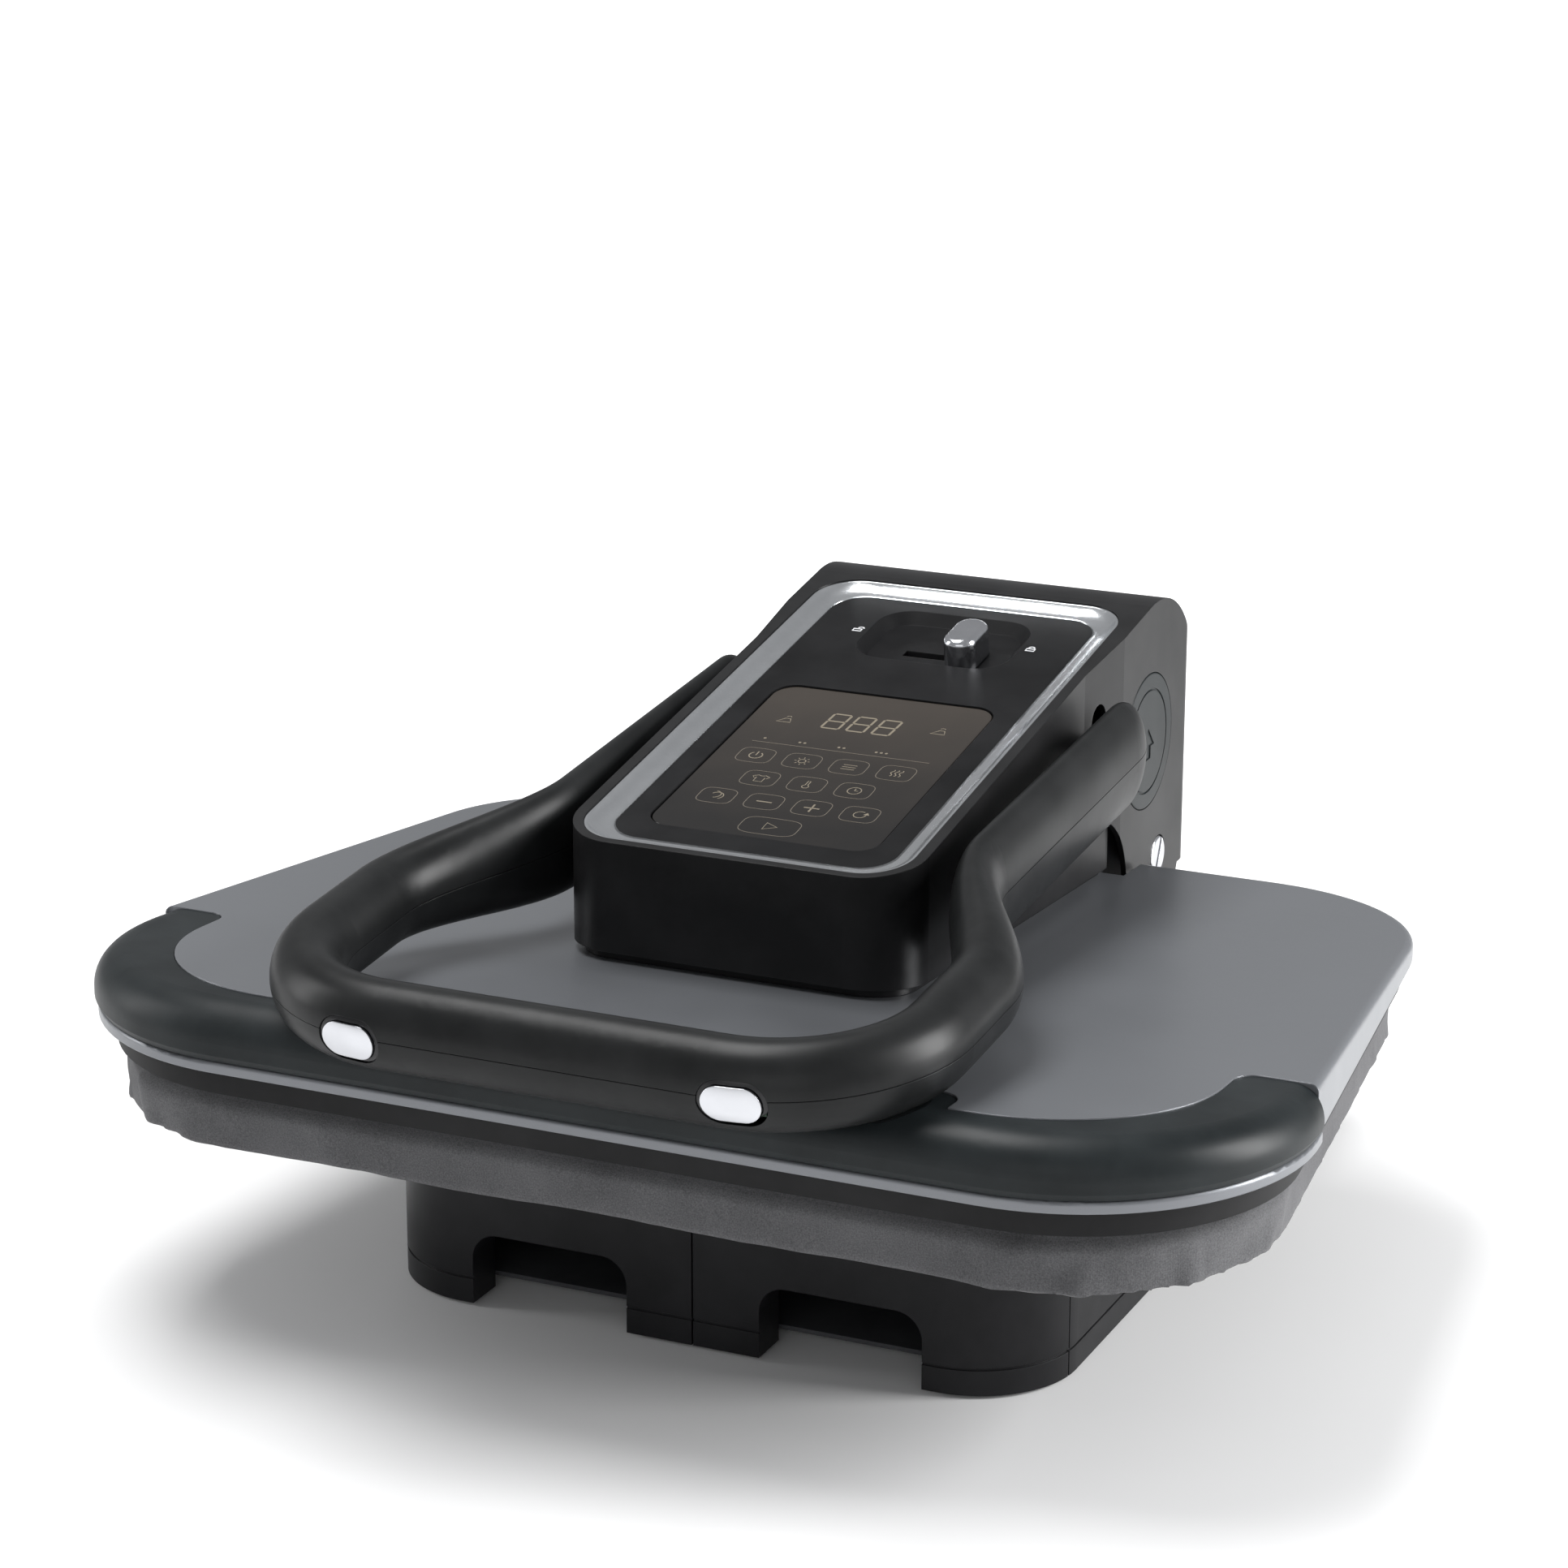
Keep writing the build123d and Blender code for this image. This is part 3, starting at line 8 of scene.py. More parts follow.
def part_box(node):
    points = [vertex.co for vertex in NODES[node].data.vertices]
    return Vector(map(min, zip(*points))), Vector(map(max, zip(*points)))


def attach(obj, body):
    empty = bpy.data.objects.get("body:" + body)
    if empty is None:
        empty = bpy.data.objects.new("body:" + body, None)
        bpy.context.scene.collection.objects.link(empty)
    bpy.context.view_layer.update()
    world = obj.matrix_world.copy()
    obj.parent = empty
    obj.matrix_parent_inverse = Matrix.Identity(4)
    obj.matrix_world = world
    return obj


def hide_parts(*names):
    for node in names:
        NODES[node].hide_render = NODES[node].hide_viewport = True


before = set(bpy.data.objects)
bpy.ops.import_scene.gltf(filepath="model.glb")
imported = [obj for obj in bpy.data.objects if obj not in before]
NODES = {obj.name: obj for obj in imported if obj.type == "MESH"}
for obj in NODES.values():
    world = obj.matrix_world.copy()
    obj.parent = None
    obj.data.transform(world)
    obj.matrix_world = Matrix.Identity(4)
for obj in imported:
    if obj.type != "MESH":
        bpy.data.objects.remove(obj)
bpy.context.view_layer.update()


# ---------------------------------------------------------------- material helpers

class Shader:
    """Small wrapper that adds and joins nodes in one material."""

    def __init__(self, name):
        self.material = bpy.data.materials.new(name)
        self.material.use_nodes = True
        self.tree = self.material.node_tree
        self.base = self.tree.nodes["Principled BSDF"]
        coordinates = self.tree.nodes.new("ShaderNodeTexCoord")
        self.place = coordinates.outputs["Object"]

    def node(self, kind, inputs=None, **settings):
        made = self.tree.nodes.new(kind)
        for key, value in settings.items():
            setattr(made, key, value)
        for key, value in (inputs or {}).items():
            if isinstance(value, bpy.types.NodeSocket):
                self.tree.links.new(value, made.inputs[key])
            else:
                made.inputs[key].default_value = value
        return made

    def set(self, **values):
        for key, value in values.items():
            socket = self.base.inputs[key.replace("_", " ")]
            if isinstance(value, bpy.types.NodeSocket):
                self.tree.links.new(value, socket)
            else:
                socket.default_value = value

    def stretched(self, scale):
        mapping = self.node("ShaderNodeMapping", {"Vector": self.place, "Scale": scale})
        return mapping.outputs["Vector"]

    def noise(self, scale, detail=3.0, rough=0.55, vector=None):
        made = self.node("ShaderNodeTexNoise", {
            "Vector": vector or self.place, "Scale": scale, "Detail": detail, "Roughness": rough})
        return made.outputs["Fac"]

    def map(self, value, low, high, from_low=0.0, from_high=1.0):
        made = self.node("ShaderNodeMapRange", {
            "Value": value, "From Min": from_low, "From Max": from_high,
            "To Min": low, "To Max": high})
        return made.outputs["Result"]

    def mix(self, factor, first, second):
        """Colour between first and second; inputs 0, 6 and 7 are the colour mode's own."""
        made = self.node("ShaderNodeMix", {0: factor}, data_type="RGBA")
        for index, color in ((6, first), (7, second)):
            if isinstance(color, bpy.types.NodeSocket):
                self.tree.links.new(color, made.inputs[index])
            else:
                made.inputs[index].default_value = (*color, 1.0)
        return made.outputs[2]

    def math(self, operation, first, second=0.0):
        return self.node("ShaderNodeMath", {0: first, 1: second}, operation=operation).outputs[0]

    def bump(self, height, strength, distance, normal=None):
        inputs = {"Height": height, "Strength": strength, "Distance": distance}
        if normal is not None:
            inputs["Normal"] = normal
        return self.node("ShaderNodeBump", inputs).outputs["Normal"]

    def soft_edges(self, radius):
        return self.node("ShaderNodeBevel", {"Radius": radius}, samples=4).outputs["Normal"]

    def edge_mask(self, radius, strength):
        """1 on sharp edges and 0 on open faces; used to paint highlights on the edges."""
        rounded = self.soft_edges(radius)
        flat = self.node("ShaderNodeNewGeometry").outputs["Normal"]
        both = self.node("ShaderNodeVectorMath", {0: rounded, 1: flat}, operation="DOT_PRODUCT")
        return self.map(both.outputs["Value"], strength, 0.0, 0.75, 1.0)


def moulded_plastic(name, color, roughness=0.42, grain=0.35, coat=0.0, edge=0.2, shine=0.24):
    """Satin moulded plastic with a fine grain, faint mottling and a painted highlight along the edges.
    """
    s = Shader(name)
    mottling = s.noise(28, 4)
    light = [min(1.0, c * 1.5 + 0.004) for c in color]
    tint = s.mix(s.map(mottling, 0.0, 1.0, 0.35, 0.7), color, light)
    # Painted highlight: the edges are mixed towards a paler colour, standing in for light caught along
    # them.
    edge_highlight_color = [min(1.0, c * 2.0 + 0.008) for c in color]
    s.set(Base_Color=s.mix(s.edge_mask(0.0009, edge), tint, edge_highlight_color))
    smudges = s.noise(9, 5, 0.6)
    s.set(Roughness=s.map(smudges, roughness - 0.05, roughness + 0.07, 0.3, 0.7))
    fine = s.noise(2600, 2)
    broad = s.noise(700, 2)
    height = s.math("ADD", fine, s.math("MULTIPLY", broad, 0.5))
    s.set(Normal=s.bump(height, grain, 0.00003, s.soft_edges(0.0006)))
    s.set(Coat_Weight=coat, Coat_Roughness=0.2, IOR=1.48, Specular_IOR_Level=shine)
    return s.material


def metallic_paint(name, color, roughness=0.36):
    """Sprayed satin metallic paint: fine flake, slight orange peel and a painted highlight along the
    edges.
    """
    s = Shader(name)
    cells = s.node("ShaderNodeTexVoronoi", {"Vector": s.place, "Scale": 2400.0})
    flake = s.map(cells.outputs["Distance"], 0.86, 1.12, 0.0, 0.7)
    cloud = s.map(s.noise(7, 3), 0.95, 1.06, 0.3, 0.7)
    shade = s.math("MULTIPLY", flake, cloud)
    dark = s.mix(shade, (0, 0, 0), color)
    # Painted highlight: the edges are mixed towards a paler colour, standing in for light caught along
    # them.
    lit = [min(1.0, c * 1.6 + 0.05) for c in color]
    s.set(Base_Color=s.mix(s.edge_mask(0.0012, 0.35), dark, lit))
    s.set(Metallic=0.5, Roughness=s.map(s.noise(14, 4), roughness - 0.03, roughness + 0.05, 0.3, 0.7))
    s.set(Coat_Weight=0.25, Coat_Roughness=0.32)
    s.set(Normal=s.bump(s.noise(420, 2), 0.12, 0.00005, s.soft_edges(0.0009)))
    return s.material


def bright_metal(name, color, roughness, brush=(1.0, 1.0, 1.0), brush_scale=900.0, depth=0.10):
    """Plated or ground metal with fine stretched scratches."""
    s = Shader(name)
    lines = s.noise(brush_scale, 4, 0.6, s.stretched(brush))
    tarnish = s.noise(60, 4)
    dull = [c * 0.86 for c in color]
    s.set(Base_Color=s.mix(s.map(tarnish, 0.0, 0.6, 0.35, 0.75), color, dull))
    s.set(Metallic=1.0, Roughness=s.map(lines, roughness * 0.75, roughness * 1.35, 0.3, 0.7))
    s.set(Normal=s.bump(lines, depth, 0.00002, s.soft_edges(0.0005)))
    return s.material


def rubber(name, color):
    s = Shader(name)
    dusty = [c * 1.9 + 0.01 for c in color]
    s.set(Base_Color=s.mix(s.map(s.noise(80, 5), 0.0, 0.8, 0.45, 0.75), color, dusty))
    s.set(Roughness=s.map(s.noise(150, 3), 0.7, 0.9))
    s.set(Normal=s.bump(s.noise(1500, 3), 0.4, 0.00006))
    return s.material


def felt(name, dark, pale):
    """Heathered felt: mixed fibres, a close weave and a soft sheen."""
    s = Shader(name)
    fibres = s.noise(1500, 5, 0.6)
    specks = s.noise(3400, 3, 0.6)
    blotch = s.noise(30, 4)
    amount = s.math("ADD", s.math("MULTIPLY", fibres, 0.65), s.math("MULTIPLY", specks, 0.35))
    amount = s.math("ADD", amount, s.map(blotch, -0.05, 0.05, 0.3, 0.7))
    s.set(Base_Color=s.mix(s.map(amount, 0.0, 1.0, 0.36, 0.66), dark, pale))
    s.set(Roughness=0.95, Sheen_Weight=0.12, Sheen_Roughness=0.5)
    waves = []
    for direction in ("X", "Z"):
        wave = s.node("ShaderNodeTexWave", {"Vector": s.place, "Scale": 420.0, "Distortion": 2.0,
                                            "Detail": 2.0}, bands_direction=direction)
        waves.append(wave.outputs["Fac"])
    height = s.math("ADD", s.math("MULTIPLY", waves[0], waves[1]), s.math("MULTIPLY", fibres, 1.2))
    s.set(Normal=s.bump(height, 0.4, 0.00010))
    return s.material


def smoked_panel(name):
    """Smoked touch panel: warm dark brown with a clear coat, and a painted reflection that makes it
    paler towards the rear.
    """
    s = Shader(name)
    low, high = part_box("display_glass")
    split = s.node("ShaderNodeSeparateXYZ", {"Vector": s.place})
    rise = s.map(split.outputs["Y"], 0.0, 1.0, low.y, high.y)
    cloud = s.map(s.noise(22, 3), -0.12, 0.12, 0.3, 0.7)
    # Painted reflection: the colour grows paler towards the rear of the panel, standing in for
    # reflected light.
    shade = s.math("ADD", s.math("POWER", rise, 1.3), cloud)
    s.set(Base_Color=s.mix(shade, (0.006, 0.005, 0.0045), (0.034, 0.027, 0.021)))
    s.set(Roughness=s.map(s.noise(40, 4), 0.16, 0.24), Coat_Weight=0.4, Coat_Roughness=0.06, IOR=1.5)
    s.set(Specular_IOR_Level=0.2)
    s.set(Normal=s.bump(s.noise(160, 2), 0.01, 0.0001))
    return s.material


def printed_ink(name, color, glow=0.0):
    s = Shader(name)
    s.set(Base_Color=s.mix(s.noise(1200, 2), color, [c * 0.8 for c in color]))
    s.set(Roughness=0.5, Emission_Color=(*color, 1.0), Emission_Strength=glow)
    return s.material


def circuit_board(name):
    s = Shader(name)
    cells = s.node("ShaderNodeTexBrick", {"Vector": s.place, "Scale": 160.0})
    resist = s.mix(cells.outputs["Fac"], (0.01, 0.09, 0.03), (0.02, 0.16, 0.06))
    s.set(Base_Color=resist, Roughness=0.35)
    return s.material


# ---------------------------------------------------------------- materials of the CAD nodes

BLACK_PART = moulded_plastic("black_satin", (0.0065, 0.0065, 0.007), 0.36)
GUARD_PART = moulded_plastic("guard_black", (0.0075, 0.010, 0.011), 0.40)
HANDLE_PART = moulded_plastic("handle_black", (0.006, 0.0065, 0.0068), 0.36, 0.2)
STAND_PART = moulded_plastic("stand_black", (0.006, 0.006, 0.007), 0.42, 0.4)
DARK_PART = moulded_plastic("inner_black", (0.005, 0.005, 0.0055), 0.55, 0.4)
DECK_PART = moulded_plastic("deck_black", (0.0045, 0.0045, 0.005), 0.46, 0.15, edge=0.1, shine=0.11)
RING_PART = moulded_plastic("ring_black", (0.01, 0.01, 0.011), 0.22, 0.1, 0.3)
TANK_PART = moulded_plastic("tank_white", (0.62, 0.68, 0.74), 0.35, 0.2)
STEEL = bright_metal("ground_steel", (0.55, 0.56, 0.58), 0.3, (30.0, 1.0, 1.0), 300.0)
DARK_STEEL = bright_metal("black_zinc", (0.10, 0.10, 0.11), 0.4)
CHROME = bright_metal("chrome", (0.66, 0.67, 0.70), 0.17, depth=0.05)
BEZEL_METAL = bright_metal("satin_chrome", (0.76, 0.78, 0.80), 0.2, (1.0, 12.0, 1.0), 500.0, 0.06)
ALUMINIUM = bright_metal("cast_aluminium", (0.62, 0.62, 0.62), 0.42, brush_scale=240.0, depth=0.3)
BRASS = bright_metal("sintered_bronze", (0.62, 0.44, 0.20), 0.4, depth=0.3)
BLACK_STEEL = moulded_plastic("coated_steel", (0.045, 0.046, 0.05), 0.5, 0.6)
BOARD = circuit_board("circuit_board")

MATERIALS = {
    BLACK_PART: ("head_housing", "rear_panel", "plinth"),
    GUARD_PART: ("front_guard", "pivot_cap_right", "pivot_cap_left"),
    HANDLE_PART: ("handle_upper_shell", "handle_lower_shell"),
    STAND_PART: ("base_front_right", "base_front_left", "base_body", "power_inlet"),
    DARK_PART: ("column_cover", "plate_surround", "lock_slide", "water_pump"),
    DECK_PART: ("control_deck",),
    RING_PART: ("button_rings",),
    TANK_PART: ("water_tank",),
    metallic_paint("grey_metallic", (0.185, 0.193, 0.208)): ("top_cover",),
    rubber("foot_rubber", (0.02, 0.02, 0.02)): ("rubber_feet",),
    rubber("silicone", (0.55, 0.55, 0.53)): ("steam_hose",),
    felt("heathered_felt", (0.050, 0.050, 0.053), (0.125, 0.125, 0.131)): ("board_fabric",),
    felt("foam", (0.28, 0.24, 0.19), (0.42, 0.37, 0.30)): ("foam_pad",),
    felt("glass_blanket", (0.55, 0.53, 0.48), (0.75, 0.73, 0.68)): ("insulation",),
    smoked_panel("smoked_panel"): ("display_glass",),
    STEEL: ("guide_pins", "hinge_axle", "lift_springs", "pivot_shaft", "bracket_screws",
            "cover_screws", "heating_element", "handle_core"),
    DARK_STEEL: ("rear_panel_screws", "handle_screws"),
    CHROME: ("axle_caps", "lock_knob", "button_right", "button_left"),
    BEZEL_METAL: ("bezel",),
    ALUMINIUM: ("heater_plate", "steam_chamber_lid", "thermostats"),
    BRASS: ("hinge_bushes", "lever_bushes"),
    BLACK_STEEL: ("bottom_plate", "hinge_bracket", "board_mount", "board_tray", "chassis",
                  "lever_right", "lever_left"),
    BOARD: ("display_board", "power_board", "button_switches"),
}

for material, names in MATERIALS.items():
    for name in names:
        mesh = NODES[name].data
        mesh.materials.clear()
        mesh.materials.append(material)


# ---------------------------------------------------------------- display marks

def top_plane(node):
    """Centre and upward normal of the largest face of a node that looks up."""
    mesh = NODES[node].data
    groups = {}
    for face in mesh.polygons:
        if face.normal.z > 0.9:
            key = tuple(round(c, 2) for c in face.normal)
            groups.setdefault(key, []).append(face)
    biggest = max(groups.values(), key=lambda faces: sum(f.area for f in faces))
    area = sum(f.area for f in biggest)
    centre = sum((f.center * f.area for f in biggest), Vector()) / area
    return centre, biggest[0].normal.copy()


GLASS_CENTRE, FACE_NORMAL = top_plane("display_glass")
FACE_UP = FACE_NORMAL.cross(Vector((1, 0, 0))).normalized()
MM = 0.001


class Marks:
    """Thin printed marks on the control face, in mm from the middle of the display."""

    def __init__(self, name, lift, material, thickness=0.05):
        self.mesh = bmesh.new()
        self.name, self.lift, self.material, self.thickness = name, lift, material, thickness

    def point(self, u, v, height):
        place = GLASS_CENTRE + Vector((1, 0, 0)) * (u * MM) + FACE_UP * (v * MM)
        return place + FACE_NORMAL * ((self.lift + height) * MM)

    def solid(self, corners):
        """A thin plate over a ring of points given counter-clockwise."""
        low = [self.mesh.verts.new(self.point(u, v, 0)) for u, v in corners]
        high = [self.mesh.verts.new(self.point(u, v, self.thickness)) for u, v in corners]
        self.mesh.faces.new(high)
        self.mesh.faces.new(low[::-1])
        count = len(corners)
        for i in range(count):
            j = (i + 1) % count
            self.mesh.faces.new((low[i], low[j], high[j], high[i]))

    def line(self, points, width, closed=False):
        """A strip of even width along points."""
        points = [Vector(p) for p in points]
        count = len(points)
        rings = []
        for i, p in enumerate(points):
            before = points[(i - 1) % count] if closed or i else p
            after = points[(i + 1) % count] if closed or i < count - 1 else p
            along = (after - before).normalized()
            side = Vector((-along.y, along.x)) * (width / 2)
            ring = []
            for place, height in ((p + side, 0), (p - side, 0), (p - side, 1), (p + side, 1)):
                ring.append(self.mesh.verts.new(self.point(place.x, place.y, height * self.thickness)))
            rings.append(ring)
        spans = count if closed else count - 1
        for i in range(spans):
            first, second = rings[i], rings[(i + 1) % count]
            for k in range(4):
                m = (k + 1) % 4
                self.mesh.faces.new((first[k], second[k], second[m], first[m]))
        if not closed:
            self.mesh.faces.new(rings[0])
            self.mesh.faces.new(rings[-1][::-1])

    def arc(self, centre, radius, start, end, width, steps=24):
        angles = [math.radians(start + (end - start) * i / steps) for i in range(steps + 1)]
        closed = abs(end - start) >= 360
        if closed:
            angles = angles[:-1]
        points = [(centre[0] + radius * math.cos(a), centre[1] + radius * math.sin(a)) for a in angles]
        self.line(points, width, closed)

    def dot(self, centre, radius):
        u, v = centre
        angles = [math.radians(30 * i) for i in range(12)]
        self.solid([(u + radius * math.cos(a), v + radius * math.sin(a)) for a in angles])

    def key(self, centre, width, height, line_width=0.35):
        """Outline of a key: a rectangle whose corners are cut by large curves."""
        points = []
        for i in range(48):
            a = 2 * math.pi * i / 48
            c, s = math.cos(a), math.sin(a)
            u = math.copysign(abs(c) ** 0.5, c) * width / 2
            v = math.copysign(abs(s) ** 0.5, s) * height / 2
            points.append((centre[0] + u, centre[1] + v))
        self.line(points, line_width, True)

    def finish(self, body="head"):
        bmesh.ops.recalc_face_normals(self.mesh, faces=self.mesh.faces)
        data = bpy.data.meshes.new(self.name)
        self.mesh.to_mesh(data)
        self.mesh.free()
        piece = bpy.data.objects.new(self.name, data)
        bpy.context.scene.collection.objects.link(piece)
        data.materials.append(self.material)
        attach(piece, body)
        return piece


def seven_segments(marks, left, bottom, width, height, stroke):
    """A figure eight of seven tapered bars, leaning slightly to the right."""
    lean = 0.06

    def bar(start, end):
        (u0, v0), (u1, v1) = start, end
        along = Vector((u1 - u0, v1 - v0)).normalized()
        side = Vector((-along.y, along.x)) * stroke / 2
        inset = along * stroke * 0.62
        a, b = Vector(start) + inset, Vector(end) - inset
        tip_a, tip_b = a - along * stroke / 2, b + along * stroke / 2
        ring = (tip_a, a - side, b - side, tip_b, b + side, a + side)
        marks.solid([(left + p.x + p.y * lean, bottom + p.y) for p in ring])

    half = height / 2
    for level in (0, half, height):
        bar((0, level), (width, level))
    for side in (0, width):
        bar((side, 0), (side, half))
        bar((side, half), (side, height))


KEY_SIZE = (16.4, 13.8)
KEY_ROWS = (
    (1.4, (-33.8, -11.6, 10.7, 33.0)),
    (-19.2, (-22.4, -0.1, 22.2)),
    (-39.6, (-33.6, -11.2, 11.1, 33.5)),
)
START_KEY = (0.9, -60.5, 26.5, 15.0)

outlines = Marks("display_keys", 0.0, printed_ink("key_ink", (0.125, 0.105, 0.082)))
for v, places in KEY_ROWS:
    for u in places:
        outlines.key((u, v), *KEY_SIZE)
outlines.key(START_KEY[:2], *START_KEY[2:])
outlines.line([(-41.5, 14.6), (43.0, 14.6)], 0.4)
outlines.finish()


def draw_symbols(m):
    """Simple symbols in the keys, where the panel has its markings."""
    w = 0.55
    (v1, (a1, a2, a3, a4)), (v2, (b1, b2, b3)), (v3, (c1, c2, c3, c4)) = KEY_ROWS
    m.arc((a1, v1), 3.0, 125, 415, w)
    m.line([(a1, v1), (a1, v1 + 3.9)], w)
    m.arc((a2, v1), 1.7, 0, 360, w * 0.8)
    for k in range(8):
        a = math.radians(45 * k)
        m.line([(a2 + 2.6 * math.cos(a), v1 + 2.6 * math.sin(a)),
                (a2 + 3.6 * math.cos(a), v1 + 3.6 * math.sin(a))], w * 0.8)
    for k in (-1, 0, 1):
        m.line([(a3 - 3.2, v1 + 2 * k), (a3 + 3.2, v1 + 2 * k)], w * 0.8)
        wave = [(a4 + 2 * k + 0.6 * math.sin(t * 0.9), v1 - 3 + t * 0.6) for t in range(11)]
        m.line(wave, w * 0.8)
    shirt = [(-4, 1.6), (-1.6, 3), (-0.8, 2.4), (0.8, 2.4), (1.6, 3), (4, 1.6), (3, 0.2), (2, 0.8),
             (2, -3), (-2, -3), (-2, 0.8), (-3, 0.2)]
    m.line([(b1 + u, v2 + v) for u, v in shirt], w * 0.8, True)
    m.arc((b2, v2 - 2), 1.5, 115, 425, w * 0.8)
    stem = ((-0.6, -0.6), (-0.6, 3.2), (0.6, 3.2), (0.6, -0.6))
    m.line([(b2 + u, v2 + v) for u, v in stem], w * 0.8)
    m.arc((b3, v2), 3.1, 0, 360, w * 0.8)
    m.line([(b3, v2 + 2.1), (b3, v2), (b3 + 1.6, v2)], w * 0.8)
    m.arc((c1, v3), 3.0, -60, 150, w * 0.8)
    m.arc((c1 - 1.5, v3 + 0.9), 3.0, -80, 90, w * 0.8)
    m.line([(c2 - 3.6, v3), (c2 + 3.6, v3)], w * 1.5)
    m.line([(c3 - 3.6, v3), (c3 + 3.6, v3)], w * 1.5)
    m.line([(c3, v3 - 3.6), (c3, v3 - w)], w * 1.5)
    m.line([(c3, v3 + w), (c3, v3 + 3.6)], w * 1.5)
    m.arc((c4, v3), 2.8, 60, 360, w * 0.8)
    m.solid([(c4 + 1.4, v3 + 0.2), (c4 + 4.2, v3 + 0.2), (c4 + 2.8, v3 + 2.4)][::-1])
    u, v = START_KEY[:2]
    m.line([(u - 2.4, v - 3.0), (u + 3.4, v), (u - 2.4, v + 3.0)], w, True)
    for left in (-17.6, -5.6, 6.6):
        seven_segments(m, left, 35.2, 8.3, 14.6, 1.1)
    for start, count in ((-37.0, 1), (-20.2, 2), (-1.4, 2), (16.4, 3)):
        for k in range(count):
            m.dot((start + 2.4 * k, 18.4), 0.7)
    for u, v in ((-36.2, 38.2), (35.2, 44.8)):
        iron = ((-3.4, -2.2), (3.4, -2.2), (2.2, 1.4), (-0.2, 1.4))
        m.line([(u + du, v + dv) for du, dv in iron], w, True)
        m.arc((u + 0.8, v + 2.6), 1.2, 20, 160, w * 0.8)


symbols = Marks("display_symbols", 0.0, printed_ink("symbol_ink", (0.20, 0.17, 0.125)))
draw_symbols(symbols)
symbols.finish()


# ---------------------------------------------------------------- lock symbols

DECK_LIFT = 0.62
LOCK_SYMBOL_X = 43.0
LOCK_SYMBOL_V = 136.0

padlocks = Marks("lock_symbols", DECK_LIFT, printed_ink("white_ink", (0.75, 0.76, 0.78)))
for side in (-1, 1):
    u = side * LOCK_SYMBOL_X
    padlocks.line([(u - 2.0, LOCK_SYMBOL_V - 1.6), (u + 2.0, LOCK_SYMBOL_V - 1.6),
                   (u + 2.0, LOCK_SYMBOL_V + 0.6), (u - 2.0, LOCK_SYMBOL_V + 0.6)], 0.9, True)
    lean = 1.2 if side < 0 else 0.0
    padlocks.arc((u + lean, LOCK_SYMBOL_V + 1.4), 1.3, 0, 180, 0.7)
padlocks.finish()


# ---------------------------------------------------------------- fabric cover of the board

RING_STEP = 0.004
HEM_DEPTH = 0.034
VOXEL = 0.005
SIM_FRAMES = 20
SIM_CAP = 0.0035
SKIRT_INSET = 0.0016
CLOTH_THICKNESS = 0.0012
PUSH_IN_LIMIT = 0.0004
PLEAT_OUT = 0.0052
CREASE_OUT = 0.0014
HEM_DROOP = 0.0020
GATHER_REACH = 0.05


def hull(points):
    """Convex hull of 2-D points, counter-clockwise."""
    points = sorted(set(points))

    def half(ordered):
        chain = []
        for p in ordered:
            while len(chain) > 1:
                (x0, y0), (x1, y1) = chain[-2], chain[-1]
                if (x1 - x0) * (p[1] - y0) - (y1 - y0) * (p[0] - x0) > 0:
                    break
                chain.pop()
            chain.append(p)
        return chain[:-1]

    return half(points) + half(points[::-1])


def resampled(points, spacing):
    """The closed outline with evenly spaced points."""
    ring = [Vector(p) for p in points]
    lengths = [(ring[(i + 1) % len(ring)] - p).length for i, p in enumerate(ring)]
    total = sum(lengths)
    count = int(total / spacing)
    out, i, walked = [], 0, 0.0
    for k in range(count):
        target = total * k / count
        while walked + lengths[i] < target:
            walked += lengths[i]
            i += 1
        share = (target - walked) / lengths[i]
        out.append(ring[i].lerp(ring[(i + 1) % len(ring)], share))
    return out


def inset_outline(ring, inset):
    """The outline moved inwards along its normals."""
    count = len(ring)
    out = []
    for i, p in enumerate(ring):
        along = (ring[(i + 2) % count] - ring[(i - 2) % count]).normalized()
        out.append(p + Vector((-along.y, along.x)) * inset)
    return out


def nearest_on(ring, tree, p):
    """Where p lies by the outline: nearest index, distance along it, depth, inward way."""
    best = tree.find((p.x, p.y, 0.0))[1]
    count = len(ring)
    along = (ring[(best + 1) % count] - ring[(best - 1) % count]).normalized()
    inward = Vector((-along.y, along.x))
    offset = p - ring[best]
    return best, best * RING_STEP + offset.dot(along), offset.dot(inward), inward


def outline_tree(ring):
    tree = kdtree.KDTree(len(ring))
    for i, p in enumerate(ring):
        tree.insert((p.x, p.y, 0.0), i)
    tree.balance()
    return tree


def turn_at(ring, reach=6):
    """How sharply the outline turns at each point, from 0 on the straights to 1."""
    count = len(ring)
    turns = []
    for i in range(count):
        back = ring[i] - ring[(i - reach) % count]
        ahead = ring[(i + reach) % count] - ring[i]
        turns.append(abs(back.angle(ahead)))
    biggest = max(turns)
    return [t / biggest for t in turns]


